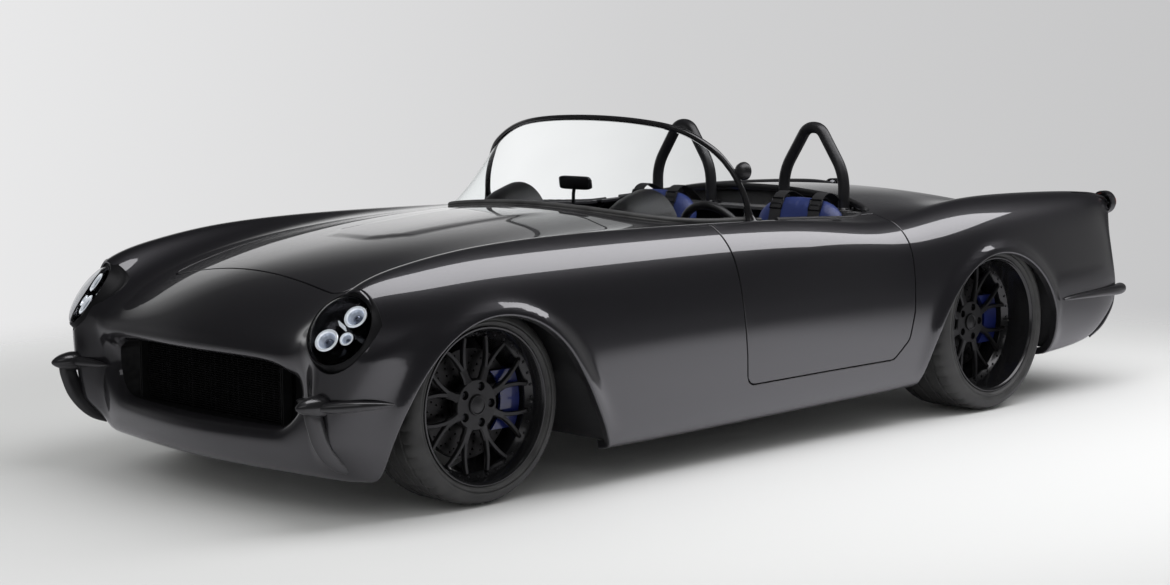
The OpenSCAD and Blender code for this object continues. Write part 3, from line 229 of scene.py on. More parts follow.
def quads(rows, cols, wrap_rows=False, wrap_cols=False):
    faces = []
    for r in range(rows if wrap_rows else rows - 1):
        for c in range(cols if wrap_cols else cols - 1):
            a, b = r * cols + c, r * cols + (c + 1) % cols
            r2 = (r + 1) % rows
            faces.append((a, b, r2 * cols + (c + 1) % cols, r2 * cols + c))
    return faces


def capped(rows, cols):
    """Faces round a run of rings, with both ends filled."""
    ends = [tuple(reversed(range(cols))), tuple(range((rows - 1) * cols, rows * cols))]
    return quads(rows, cols, False, True) + ends


def grid(us, vs):
    """All pairs of two rows of numbers."""
    return np.stack(np.meshgrid(us, vs, indexing="ij"), -1).reshape(-1, 2)


def triangle_grid(us, vs):
    """All pairs of two rows of numbers, and the triangles between them."""
    q = np.array(quads(len(us), len(vs)))
    return grid(us, vs), np.concatenate([q[:, [0, 2, 1]], q[:, [0, 3, 2]]])


def sides_of(tris):
    return np.concatenate([tris[:, [0, 1]], tris[:, [1, 2]], tris[:, [2, 0]]])


def lathe(profile, steps, closed=False):
    """Turns (radius, height) pairs about the z axis; the profile runs so that its left side is outside."""
    p = np.asarray(profile, float)
    angles = circle(steps)
    points = np.stack([np.outer(np.cos(angles), p[:, 0]), np.outer(np.sin(angles), p[:, 0]),
                       np.tile(p[:, 1], (steps, 1))], -1)
    return points.reshape(-1, 3), quads(steps, len(p), True, closed)


def frames(path, closed=False):
    """Tangents and a pair of cross directions that don't twist along a path."""
    path = np.asarray(path, float)
    if closed:
        tangents = unit(np.roll(path, -1, 0) - np.roll(path, 1, 0))
    else:
        tangents = unit(np.gradient(path, axis=0))
    a = [unit(np.cross(tangents[0], [0.31, 0.17, 0.94]))]
    for t in tangents[1:]:
        a.append(unit(a[-1] - t * (a[-1] @ t)))
    a = np.array(a)
    return tangents, a, np.cross(tangents, a)


def upright_axes(tangents, up):
    """Cross directions of a path, the second one turned toward up."""
    b = np.broadcast_to(np.asarray(up, float), tangents.shape)
    b = unit(b - tangents * (b * tangents).sum(1)[:, None])
    return np.cross(b, tangents), b


def tube(path, radius, sides=14, closed=False, flat=1.0, up=None):
    """Sweeps a round or flattened section along a path. With up, the flat side faces that way."""
    path = np.asarray(path, float)
    radius = np.broadcast_to(np.asarray(radius, float), (len(path),))
    tangents, a, b = frames(path, closed)
    if up is not None:
        a, b = upright_axes(tangents, up)
    angles = circle(sides)[None, :, None]
    ring = np.cos(angles) * a[:, None] + flat * np.sin(angles) * b[:, None]
    points = (path[:, None] + radius[:, None, None] * ring).reshape(-1, 3)
    return points, quads(len(path), sides, True, True) if closed else capped(len(path), sides)


def bar(path, wide, deep, up):
    """Sweeps a rectangle with cut corners; deep lies along up."""
    path = np.asarray(path, float)
    wide, deep = np.broadcast_to(wide, len(path)), np.broadcast_to(deep, len(path))
    a, b = upright_axes(unit(np.gradient(path, axis=0)), up)
    corners = [(1, -0.55), (1, 0.55), (0.65, 1), (-0.65, 1), (-1, 0.55), (-1, -0.55), (-0.65, -1), (0.65, -1)]
    rows = [path + a * (wide * s / 2)[:, None] + b * (deep * t / 2)[:, None] for s, t in corners]
    return np.stack(rows, 1).reshape(-1, 3), capped(len(path), len(corners))


def smooth_line(points, per_span=8):
    """Catmull-Rom line through points of any width."""
    p = np.asarray(points, float)
    p = np.concatenate([[2 * p[0] - p[1]], p, [2 * p[-1] - p[-2]]])
    t = np.linspace(0, 1, per_span, endpoint=False)[:, None]
    out = []
    for a, b, c, d in zip(p, p[1:], p[2:], p[3:]):
        bow, twist = 2 * a - 5 * b + 4 * c - d, 3 * b - a - 3 * c + d
        out.append(0.5 * (2 * b + (c - a) * t + bow * t ** 2 + twist * t ** 3))
    return np.concatenate(out + [p[-2:-1]])


def rounded(points, reach, steps=8):
    """Line through points whose inner corners are rounded over a length on both sides."""
    p = np.asarray(points, float)
    out = [p[0]]
    for i in range(1, len(p) - 1):
        r = reach[i] if hasattr(reach, "__len__") else reach
        a = p[i] + r * (p[i - 1] - p[i]) / np.linalg.norm(p[i - 1] - p[i])
        b = p[i] + r * (p[i + 1] - p[i]) / np.linalg.norm(p[i + 1] - p[i])
        for t in np.linspace(0, 1, steps):
            out.append((1 - t) ** 2 * a + 2 * t * (1 - t) * p[i] + t ** 2 * b)
    return np.array(out + [p[-1]])


def block(low, high, edge=2.0):
    """Box with cut edges."""
    low, high = np.asarray(low, float), np.asarray(high, float)
    mid, half = (low + high) / 2, (high - low) / 2
    e = min(edge, half.min() * 0.9)
    rows = []
    for z, inset in ((-half[2], e), (-half[2] + e, 0), (half[2] - e, 0), (half[2], e)):
        x, y = half[0] - inset, half[1] - inset
        rows.append([(x, -y + e, z), (x, y - e, z), (x - e, y, z), (-x + e, y, z),
                     (-x, y - e, z), (-x, -y + e, z), (-x + e, -y, z), (x - e, -y, z)])
    return np.array(rows).reshape(-1, 3) + mid, capped(4, 8)


def piece(name, part, look, body="root", slot=None, replaces=(), sharp=38, normals=None, looks=None):
    """Makes an object that rides on a body; looks gives a second material with the faces that take it."""
    points, faces = part
    mesh = bpy.data.meshes.new(name)
    mesh.from_pydata(metres(points).tolist(), [], [tuple(f) for f in faces])
    mesh.materials.append(look)
    if looks:
        mesh.materials.append(looks[0])
        mesh.polygons.foreach_set("material_index", np.asarray(looks[1], int))
    mesh.polygons.foreach_set("use_smooth", np.ones(len(mesh.polygons), bool))
    if normals is not None:
        mesh.normals_split_custom_set_from_vertices(np.asarray(normals, float).tolist())
    elif sharp:
        mesh.set_sharp_from_angle(angle=math.radians(sharp))
    obj = bpy.data.objects.new(name, mesh)
    scene.collection.objects.link(obj)
    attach(obj, body)
    if replaces:
        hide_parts(*replaces)
    return obj


def pairs(table, put=on_side, body=None):
    """Pieces for both sides, from rows of name, part, look, slot and any solids that the left one stands for."""
    for side, word in SIDES:
        rider = "%s_%s" % (body, word) if body else "root"
        for name, part, look, slot, *solids in table:
            piece("%s_%s" % (name, word), put(part, side), look, rider, slot, solids if side == LEFT else ())


# Body surface: stations of six or seven key points, blended into a smooth cubic sheet
def across(x, centre, valley, crown, side, edge):
    return [[x, 0, centre], [x, *valley], [x, *crown], [x, *side], [x, *edge], [x, 0, edge[1]]]


STATIONS = [
    [[-560, 0, 480], [-535, 430, 476], [-515, 505, 440], [-505, 520, 372], [-520, 440, 276], [-560, 0, 272]],
    [[-618, 0, 490], [-580, 445, 490], [-545, 525, 452], [-532, 540, 372], [-560, 445, 264], [-618, 0, 260]],
    [[-600, 0, 560], [-575, 470, 535], [-570, 590, 520], [-545, 640, 370], [-545, 520, 205], [-625, 0, 205]],
    [[-520, 0, 645], [-465, 540, 590], [-560, 695, 650], [-500, 765, 400], [-490, 650, 128], [-575, 0, 108]],
    [[-400, 0, 712], [-365, 565, 630], [-440, 702, 752], [-400, 835, 440], [-405, 775, 115], [-400, 0, 110]],
    across(-240, 758, [580, 676], [702, 793], [870, 470], [840, 115]),
    across(0, 803, [600, 735], [717, 827], [891, 470], [850, 112]),
    across(300, 834, [610, 780], [730, 837], [897, 470], [848, 110]),
    across(600, 856, [622, 804], [744, 837], [895, 470], [842, 108]),
    across(900, 872, [640, 812], [758, 832], [892, 468], [836, 108]),
    across(1200, 874, [665, 817], [770, 826], [890, 466], [833, 112]),
    across(1600, 868, [690, 815], [780, 812], [889, 464], [831, 118]),
    across(1950, 873, [690, 806], [797, 764], [893, 464], [834, 124]),
    across(2200, 888, [655, 818], [790, 790], [905, 470], [845, 132]),
    across(2500, 884, [610, 816], [770, 848], [919, 480], [856, 145]),
    across(2850, 850, [575, 778], [757, 852], [916, 480], [850, 162]),
    across(3150, 805, [560, 738], [752, 848], [901, 470], [838, 174]),
    [[3370, 0, 752], [3360, 560, 694], [3400, 752, 840], [3380, 882, 450], [3330, 815, 186], [3300, 0, 190]],
    [[3480, 0, 700], [3450, 570, 650], [3570, 752, 822], [3510, 848, 420], [3420, 780, 205], [3420, 0, 205],
     [3470, 822, 640]],
    [[3545, 0, 645], [3480, 575, 622], [3615, 748, 770], [3600, 800, 395], [3490, 735, 215], [3500, 0, 215],
     [3470, 795, 640]],
    [[3585, 0, 580], [3500, 570, 590], [3480, 700, 640], [3630, 730, 385], [3555, 650, 240], [3565, 0, 240],
     [3540, 745, 560]],
    [[3612, 0, 500], [3570, 400, 520], [3560, 520, 560], [3638, 500, 375], [3612, 400, 300], [3610, 0, 290],
     [3610, 540, 470]],
    [[3621, 0, 450], [3616, 280, 450], [3612, 380, 445], [3626, 420, 385], [3622, 330, 330], [3621, 0, 325],
     [3620, 420, 425]]]
SPANS_U, SPANS_V = len(STATIONS) - 1, 10


def net_row(station):
    s = [np.array(p, float) for p in station]
    bend = lambda a, b, tx, ty, tz: a + (b - a) * [tx, ty, tz]
    shoulder = s[6] if len(s) > 6 else bend(s[2], s[3], 0.50, 0.86, 0.27)
    row = [s[0], bend(s[0], s[1], 0.55, 0.55, 0.3025), s[1], bend(s[1], s[2], 0.62, 0.62, 0.80), s[2], shoulder, s[3],
           bend(s[3], s[4], 0.55, 0.28, 0.55), s[4], s[4] + (s[5] - s[4]) * 0.12, s[5]]
    return np.array([row[1] * MIRROR] + row + [row[9] * MIRROR])


NET = np.array([net_row(s) for s in STATIONS])
NET = np.concatenate([[2 * NET[0] - NET[1]], NET, [2 * NET[-1] - NET[-2]]])


def weights(t):
    return np.stack([(1 - t) ** 3, 3 * t ** 3 - 6 * t * t + 4, -3 * t ** 3 + 3 * t * t + 3 * t + 1, t ** 3], -1) / 6


def surface(uv):
    """Points of the body sheet, right half, at stations u and round the section v."""
    u, v = np.clip(uv[:, 0], 0, SPANS_U), np.clip(uv[:, 1], 0, SPANS_V)
    i, j = np.minimum(u.astype(int), SPANS_U - 1), np.minimum(v.astype(int), SPANS_V - 1)
    wu, wv = weights(u - i), weights(v - j)
    out = np.zeros((len(uv), 3))
    for a in range(4):
        for b in range(4):
            out += (wu[:, a] * wv[:, b])[:, None] * NET[i + a, j + b]
    return out


def crossed(place, uv, e=0.004):
    """Unit normals of a sheet by small steps to both sides."""
    at = lambda du, dv: place(np.clip(uv + [du, dv], 0, [SPANS_U, SPANS_V]))
    n = np.cross(at(e, 0) - at(-e, 0), at(0, e) - at(0, -e))
    n[(uv[:, 1] < 1e-6) | (uv[:, 1] > SPANS_V - 1e-6), 1] = 0
    return n / np.maximum(np.linalg.norm(n, axis=1), 1e-12)[:, None]


# Outlines of panels and openings, as signed distances that are negative inside
def both(half):
    return np.array(list(half) + [[x, -y] for x, y in reversed(half)], float)


def polygon_distance(p, polygon):
    a, b = polygon, np.roll(polygon, -1, 0)
    e = b - a
    d = np.full(len(p), 1e18)
    inside = np.zeros(len(p), bool)
    for k in range(len(a)):
        w = p - a[k]
        t = np.clip((w @ e[k]) / (e[k] @ e[k]), 0, 1)
        d = np.minimum(d, ((w - t[:, None] * e[k]) ** 2).sum(1))
        if abs(e[k][1]) > 1e-9:
            x_at = a[k][0] + (p[:, 1] - a[k][1]) * e[k][0] / e[k][1]
            inside ^= ((a[k][1] > p[:, 1]) != (b[k][1] > p[:, 1])) & (p[:, 0] < x_at)
    d = np.sqrt(d)
    return np.where(inside, -d, d)


def hull(points):
    """Convex hull, by the two chains of sorted points."""
    points = sorted(map(tuple, points))
    chains = []
    for run in (points, points[::-1]):
        chain = []
        for p in run:
            while len(chain) > 1 and ((chain[-1][0] - chain[-2][0]) * (p[1] - chain[-2][1])
                                      - (chain[-1][1] - chain[-2][1]) * (p[0] - chain[-2][0])) <= 0:
                chain.pop()
            chain.append(p)
        chains += chain[:-1]
    return np.array(chains)


PANEL_R, GAP, EDGE_R, SKIN_T = 45, 5.0, 2.2, 6.0
# Rolled edges of the arches and the cockpit: radius and depth
ARCH_EDGE, TUB_EDGE = (7.0, 30.0), (6.0, 16.0)
# Arches are cut outside ARCH_Y, the upper skin lies above TOP_Z, and FAR is well outside any outline
ARCH_Y, TOP_Z, FAR = 640, 600, 500
COCKPIT_MID, SEAT_Y, FLOOR_R = (1600, 0), 385, 14
HOOD = both([[-285, 425], [250, 500], [720, 530], [775, 380], [810, 190]])
LID = both([[2765, 300], [2790, 410], [3000, 425], [3230, 415], [3285, 360], [3290, 180]])
DOOR = np.array([[1094, 900], [1116, 760], [1140, 560], [1173, 308], [1560, 311], [1930, 313], [1985, 362],
                 [2003, 450],
                 [2005, 700], [1990, 900]], float)
COCKPIT = both([[1025, 150], [1040, 340], [1075, 470], [1150, 572], [1290, 640], [1420, 672], [1895, 660],
                [2040, 605],
                [2100, 480], [2110, 200]])
BULGE = both([[110, 90], [200, 150], [780, 178]])
# Wheel arches: centre x and z, half-width, height, foot x
ARCHES = [(-12, 150, 392, 466, 548), (2577, 150, 432, 482, 3000)]
LAMP, LAMP_LEAN, LAMP_TURN, LAMP_RX, LAMP_RY = np.array([-508, 706, 600.0]), 36, 22, 106, 124
LAMP_AXES = turn("Z", -LAMP_TURN) @ turn("Y", LAMP_LEAN - 90) @ turn("Z", 90)


def arch_outline(arch):
    cx, cz, half, rise, foot = arch
    t = np.linspace(0, math.pi, 90)
    points = list(zip(cx + half * np.cos(t), cz + rise * np.sin(t)))
    return hull(points + [(cx - half, 20), (cx + half, 20), (foot, 20), (foot, 60)])


ARCH_LINES = [arch_outline(a) for a in ARCHES]


def top_field(outline):
    return lambda p: np.maximum(polygon_distance(p[:, :2], outline) - PANEL_R, 560 - p[:, 2])


def door_field(p):
    strip = np.interp(p[:, 0], [1000, 1380, 1450, 2100], [739, 739, 702, 690])
    return np.maximum(polygon_distance(p[:, [0, 2]], DOOR) - PANEL_R, strip - p[:, 1])


def arch_field(line):
    return lambda p: np.maximum(polygon_distance(p[:, [0, 2]], line), ARCH_Y - p[:, 1])


def lamp_field(p):
    q = (p - LAMP) @ LAMP_AXES
    reach = np.hypot(q[:, 0] / (LAMP_RX + 6), q[:, 1] / (LAMP_RY + 6))
    return np.where(q[:, 2] > -150, (reach - 1) * 110, FAR)


def belly_field(p):
    return np.max([p[:, 1] - 765, p[:, 2] - 235, -330 - p[:, 0], p[:, 0] - 3290], 0)


HOOD_FIELD, LID_FIELD, COCKPIT_FIELD = top_field(HOOD), top_field(LID), top_field(COCKPIT)
ARCH_FIELDS = [arch_field(line) for line in ARCH_LINES]
FLARE, FLARE_REACH = 17.0, 34.0
CHEEK = 56.0
BULGE_R, BULGE_RISE, BULGE_EDGE = 60, 4.0, 60.0


def flare_share(z):
    """The flares fade toward the sill."""
    return np.clip((z - 170) / 200, 0, 1)


def skin(uv):
    """The sheet with its soft arch flares, the raised middle of the hood and the fuller fender ends."""
    base = surface(uv)
    rise = np.zeros(len(base))
    for line in ARCH_LINES:
        d = np.where(base[:, 1] > ARCH_Y, polygon_distance(base[:, [0, 2]], line), FAR)
        rise += FLARE * np.exp(-(np.maximum(d, 0) / FLARE_REACH) ** 2) * flare_share(base[:, 2])
    d = np.where(base[:, 2] > TOP_Z, polygon_distance(base[:, :2], BULGE) - BULGE_R, FAR)
    rise += BULGE_RISE * ease(-d / BULGE_EDGE) * ease((840 - base[:, 0]) / 200)
    touched = np.abs(rise) > 1e-4
    if touched.any():
        base[touched] += rise[touched, None] * crossed(surface, uv[touched])
    return base + fender_ends(base)


def fender_ends(p):
    """The fender ends stand forward below the lamps, and above the bumper along the lamps' axis."""
    x, y, z = p.T
    push = CHEEK * ease((y - 575) / 115) * ease((z - 140) / 115) * ease((630 - z) / 150) * (x < -200)
    push *= ease(polygon_distance(p[:, [0, 2]], ARCH_LINES[0]) / 120)
    up = ease((z - 380) / 110)[:, None]
    return push[:, None] * ((1 - up) * [-1, 0, 0] + up * LAMP_AXES[:, 2])


def split(uv, tris, field, place=surface):
    """Cuts triangles along field = 0."""
    out = field(place(uv)) > 0
    count = out[tris].sum(1)
    mixed = (count > 0) & (count < 3)
    t = tris[mixed]
    edges = np.sort(sides_of(t), 1)
    edges = np.unique(edges[out[edges[:, 0]] != out[edges[:, 1]]], axis=0)
    flip = out[edges[:, 0]][:, None]
    start, end = uv[edges[:, 0]], uv[edges[:, 1]]
    low, high = np.where(flip, end, start), np.where(flip, start, end)
    near, far = low.copy(), high.copy()
    for _ in range(12):
        mid = (low + high) / 2
        outside = field(place(mid))[:, None] > 0
        low, high = np.where(outside, low, mid), np.where(outside, mid, high)
    step = far - near
    share = np.clip((((low + high) / 2 - near) * step).sum(1) / (step * step).sum(1), 0.03, 0.97)
    index = {tuple(e): len(uv) + k for k, e in enumerate(edges.tolist())}
    made = []
    for tri in t.tolist():
        sides = [out[k] for k in tri]
        lone = next(k for k in range(3) if sides[k] != sides[(k + 1) % 3] and sides[k] != sides[(k + 2) % 3])
        i, j, k = tri[lone], tri[(lone + 1) % 3], tri[(lone + 2) % 3]
        p, q = index[(min(i, j), max(i, j))], index[(min(i, k), max(i, k))]
        made += [(i, p, q), (p, j, k), (p, k, q)]
    uv = np.concatenate([uv, near + share[:, None] * step])
    return uv, np.concatenate([tris[~mixed], np.array(made, int).reshape(-1, 3)])


def body_grid(steps_u, steps_v):
    spans = lambda steps: [np.linspace(k, k + 1, n, endpoint=False) for k, n in enumerate(steps)]
    line = lambda steps: np.concatenate(spans(steps) + [[len(steps)]])
    return triangle_grid(line(steps_u), line(steps_v))


def shell(uv, tris, name, body, node_names, mirror):
    """Closed panel from sheet triangles: rolled edges, then an inner face. mirror joins it with its left half."""
    used, tris = np.unique(tris, return_inverse=True)
    tris = tris.reshape(-1, 3)
    uv = uv[used]
    flat, points, n = surface(uv), skin(uv), crossed(skin, uv)
    directed = sides_of(tris)
    known = set(map(tuple, directed.tolist()))
    edges = np.array([e for e in directed.tolist() if (e[1], e[0]) not in known])
    on_middle = np.abs(points[:, 1]) < 1e-3
    edges = edges[~(on_middle[edges[:, 0]] & on_middle[edges[:, 1]])]
    rim, local = np.unique(edges, return_inverse=True)
    local = local.reshape(-1, 2)
    along = points[edges[:, 1]] - points[edges[:, 0]]
    away = np.zeros((len(rim), 3))
    for end in (0, 1):
        np.add.at(away, local[:, end], np.cross(along, n[edges[:, end]]))
    away[on_middle[rim], 1] = 0
    away /= np.maximum(np.linalg.norm(away, axis=1), 1e-12)[:, None]
    arch = np.min([np.abs(f(flat[rim])) for f in ARCH_FIELDS], 0) < 2.0
    tub = np.abs(COCKPIT_FIELD(flat[rim])) < 2.0
    radius = np.where(arch, ARCH_EDGE[0], np.where(tub, TUB_EDGE[0], EDGE_R))[:, None]
    depth = np.where(arch, ARCH_EDGE[1], np.where(tub, TUB_EDGE[1], SKIN_T + 1))[:, None]
    rings, ring_normals = [], []
    for angle in np.radians([30, 60, 90]):
        rings.append(points[rim] + away * radius * math.sin(angle) - n[rim] * radius * (1 - math.cos(angle)))
        ring_normals.append(away * math.sin(angle) + n[rim] * math.cos(angle))
    rings.append(points[rim] + away * radius - n[rim] * depth)
    ring_normals.append(away)
    base, size = len(points), len(rim)
    faces = [tuple(t) for t in tris.tolist()]
    ids = [rim] + [base + k * size + np.arange(size) for k in range(4)]
    for k in range(4):
        faces += [(ids[k][b], ids[k][a], ids[k + 1][a], ids[k + 1][b]) for a, b in local.tolist()]
    painted = len(faces)
    inner_base = base + 4 * size
    inside = points - n * SKIN_T
    back = np.arange(len(points)) + inner_base
    back[rim] = ids[4]
    faces += [tuple(reversed([back[i] for i in t])) for t in tris.tolist()]
    points = np.concatenate([points] + rings + [inside])
    normals = np.concatenate([n] + ring_normals + [-n])
    marks = np.zeros(len(faces), int)
    marks[painted:] = 1
    if mirror:
        count = len(points)
        twin = np.arange(count) + count
        middle = np.abs(points[:, 1]) < 1e-3
        twin[middle] = np.arange(count)[middle]
        faces = faces + [tuple(twin[i] for i in reversed(f)) for f in faces]
        points = np.concatenate([points, points * MIRROR])
        normals = np.concatenate([normals, normals * MIRROR])
        marks = np.concatenate([marks, marks])
    sides = [(points, faces, normals, name, body, node_names)]
    if not mirror:
        sides = [(points, faces, normals, name + "_right", body + "_right", [node_names[1]]),
                 (points * MIRROR, flipped(faces), normals * MIRROR, name + "_left",
                  body + "_left", [node_names[0]])]
    for side_points, side_faces, side_normals, side_name, side_body, nodes in sides:
        keep, side_faces = compact(len(side_points), side_faces)
        piece(side_name, (side_points[keep], side_faces), PAINT, side_body, "body_paint", nodes,
              normals=side_normals[keep], looks=(LINER, marks))


def compact(count, faces):
    """Drops points that no face uses."""
    used = np.zeros(count, bool)
    used[np.concatenate([np.array(f) for f in faces])] = True
    where = np.cumsum(used) - 1
    return used, [tuple(where[list(f)].tolist()) for f in faces]


def build_body():
    quick = 1
    uv, tris = body_grid([14 // quick] * 5 + [20 // quick] * 12 + [14 // quick] * 5,
                         [n // quick for n in (12, 12, 12, 12, 14, 12, 10, 10, 4, 4)])
    half = GAP / 2 + EDGE_R
    outside = lambda field, level: (lambda p: field(p) - level)
    fields = [HOOD_FIELD, LID_FIELD, door_field]
    cuts = [outside(f, s * half) for f in fields for s in (1, -1)] + ARCH_FIELDS + [COCKPIT_FIELD, lamp_field,
            belly_field]
    for cut in cuts:
        uv, tris = split(uv, tris, cut)
    middle = surface(uv[tris].mean(1))
    open_parts = np.max([-f(middle) for f in ARCH_FIELDS + [COCKPIT_FIELD, lamp_field, belly_field]], 0) > 0
    hood, lid, door = [f(middle) for f in fields]
    keep = ~open_parts & (hood > half) & (lid > half) & (door > half)
    shell(uv, tris[keep], "body_skin", "root",
          ["nose", "fender_left", "fender_right", "quarter_left", "quarter_right", "tail"], True)
    shell(uv, tris[(hood < -half)], "hood_panel", "hood", ["hood"], True)
    shell(uv, tris[(lid < -half)], "boot_panel", "boot_lid", ["boot_lid"], True)
    shell(uv, tris[(door < -half) & ~open_parts], "door_panel", "door", ["door_left", "door_right"], False)


# Wheels, built about their own axis with z = 0 at the outer lip and the car at -z
WHEELS = {"front": dict(x=0, lip_y=787, r=317, w=252, lip=254, dish=45),
          "rear": dict(x=2591, lip_y=864, r=342, w=300, lip=267, dish=112)}
SPOKES, STUDS, STUD_R, RIVETS = 8, 5, 60.35, 36
# The tyre stands out past the lip, and the barrel lies inside it
BULGE_OUT, DRUM_IN = 6, 36.3


def at_wheel(part, side, wheel):
    a, b, c = np.asarray(part[0], float).reshape(-1, 3).T
    return on_side((np.stack([wheel["x"] + a, wheel["lip_y"] + c, wheel["r"] - b], 1), part[1]), side)


def tyre(wheel):
    r, half, lip = wheel["r"], wheel["w"] / 2, wheel["lip"]
    wall = [(lip - 5, half - 14), (lip + 1, half - 11), (lip + 6, half - 4), (lip + 9, half), (lip + 13, half + 1.5),
            (lip + 17, half),
            (lip + 19, half - 1.5), (lip + 24, half + 0.5), (r - 44, half + 2), (r - 41, half + 2.8),
            (r - 37, half + 1.6), (r - 27, half - 2),
            (r - 16, half - 10), (r - 8, half - 21), (r - 3.5, half - 31)]
    crown = lambda z: r - 1.6 * (z / half) ** 2 - 0.2
    tread = []
    for z in (half * 0.56, half * 0.2, -half * 0.2, -half * 0.56):
        tread += [(crown(z), z + 5.5), (crown(z) - 7, z + 3.6), (crown(z) - 7, z - 3.6), (crown(z), z - 5.5)]
    other = [(p, -z) for p, z in reversed(wall)]
    profile = np.array(wall + tread + other)
    steps = 176
    points, faces = lathe(profile, steps, closed=True)
    grid = points.reshape(steps, len(profile), 3)
    ribs = (np.abs(profile[:, 1]) > half * 0.58) & (profile[:, 0] > r - 9)
    mids = (np.abs(profile[:, 1]) < half * 0.5) & (profile[:, 0] > r - 4)
    for mask, turns, drop in ((ribs, 4, 5.0), (mids, 8, 3.5)):
        for k in range(0, steps, turns):
            grid[k, mask, :2] *= 1 - drop / r
    grid[..., 2] += -half + BULGE_OUT
    return grid.reshape(-1, 3), faces


def rim(wheel):
    lip, depth, dish = wheel["lip"], wheel["w"] - 2 * BULGE_OUT, wheel["dish"]
    bead, drum = lip - 6.3, lip - DRUM_IN
    inside = [(lip - 15, -depth), (lip - 19, -depth + 26), (drum, -depth + 58), (drum, -dish - 18),
              (drum + 4, -dish - 12),
              (lip - 19, -dish + 2), (lip - 17.5, -dish + 6), (lip - 17, -dish * 0.55), (lip - 14, -dish * 0.45),
              (lip - 13, -9),
              (lip - 10, -5), (lip - 8, -1), (lip - 5, 0.4), (lip - 1.5, 0), (lip, -2)]
    outside = [(lip, -8), (bead, -10), (bead, -depth + 9), (lip, -depth + 8), (lip, -depth)]
    return lathe(inside + outside, 128, closed=True)


def spider(wheel):
    """Hub face with studs, forked spokes and the ring of rivets."""
    dish, drum = wheel["dish"], wheel["lip"] - DRUM_IN
    face = -dish
    studs = [(STUD_R * math.cos(a), STUD_R * math.sin(a)) for a in np.arange(STUDS) * 2 * math.pi / STUDS]
    parts = [moved(drilled(33, 79, studs, 14.5, 17, 12, 120), None, (0, 0, face - 2)),
             lathe([(79, face - 2), (82, face - 5), (83, face - 11), (83, face - 24), (33, face - 26),
                    (33, face - 2)], 64)]
    fork = 124
    for k in range(SPOKES):
        a = 2 * math.pi * (k + 0.5) / SPOKES
        at = lambda r, t, z: (r * math.cos(a + t), r * math.sin(a + t), z)
        parts.append(bar([at(74, 0, face - 13), at(94, 0, face - 14), at(fork, 0, face - 15)], [38, 27, 29],
                         [22, 20, 19], (0, 0, 1)))
        for s in (-1, 1):
            reach = np.linspace(0, 1, 7)
            bend = math.radians(11.2)
            line = [at(fork - 8 + (drum + 10 - fork) * t, s * (0.028 + (bend - 0.028) * t ** 1.1),
                       face - 15 + 5 * t) for t in reach]
            parts.append(bar(line, np.linspace(16, 13, 7), np.linspace(18, 15, 7), (0, 0, 1)))
    return join(*parts)


def wheel_fittings(wheel):
    dish, lip = wheel["dish"], wheel["lip"]
    parts = []
    for k in range(RIVETS):
        a = 2 * math.pi * k / RIVETS
        tilt = turn("Z", math.degrees(a)) @ turn("Y", -38)
        parts.append(moved(lathe([(0.2, 4), (2.2, 3.6), (3.8, 2.2), (4.4, 0), (4.4, -2)], 8), tilt,
                           ((lip - 25) * math.cos(a), (lip - 25) * math.sin(a), -dish - 2)))
    for k in range(STUDS):
        a = 2 * math.pi * k / STUDS
        nut = lathe([(0.2, -9), (5, -9), (5.5, -7), (8, -7), (9, -8.5), (9, -20)], 6)
        parts.append(moved(nut, None, (STUD_R * math.cos(a), STUD_R * math.sin(a), -dish - 4)))
    return join(*parts)


def wheel_cap(wheel):
    z = -wheel["dish"]
    return lathe([(0.2, z + 5), (10, z + 4.6), (20, z + 2.5), (26, z + 2), (29, z + 4.5), (32, z + 4), (34, z - 1),
                  (34, z - 16)], 48)


def drilled(inner, outer, centres, hole_r, depth, rings, steps):
    """Flat ring at z = 0 with round holes, whose walls go down by depth."""
    place = lambda uv: np.stack([uv[:, 0] * np.cos(uv[:, 1]), uv[:, 0] * np.sin(uv[:, 1]), np.zeros(len(uv))], 1)
    uv, tris = triangle_grid(np.linspace(inner, outer, rings), np.linspace(0, 2 * math.pi, steps + 1))
    holes = np.array(centres)
    field = lambda p: np.sqrt(((p[:, None, :2] - holes[None]) ** 2).sum(2)).min(1) - hole_r
    uv, tris = split(uv, tris, field, place)
    tris = tris[field(place(uv[tris].mean(1))) > 0]
    top = place(uv)
    keep, faces = compact(len(top), [tuple(t) for t in tris.tolist()])
    top = top[keep]
    n = np.array([np.cross(top[f[1]] - top[f[0]], top[f[2]] - top[f[0]])[2] for f in faces])
    faces = [f if up > 0 else tuple(reversed(f)) for f, up in zip(faces, n)]
    directed = {(f[k], f[(k + 1) % 3]) for f in faces for k in range(3)}
    on_hole = np.abs(field(top)) < 1
    edges = [e for e in directed if (e[1], e[0]) not in directed and on_hole[e[0]] and on_hole[e[1]]]
    count = len(top)
    return np.concatenate([top, top - [0, 0, depth]]), faces + [(b, a, a + count, b + count) for a, b in edges]


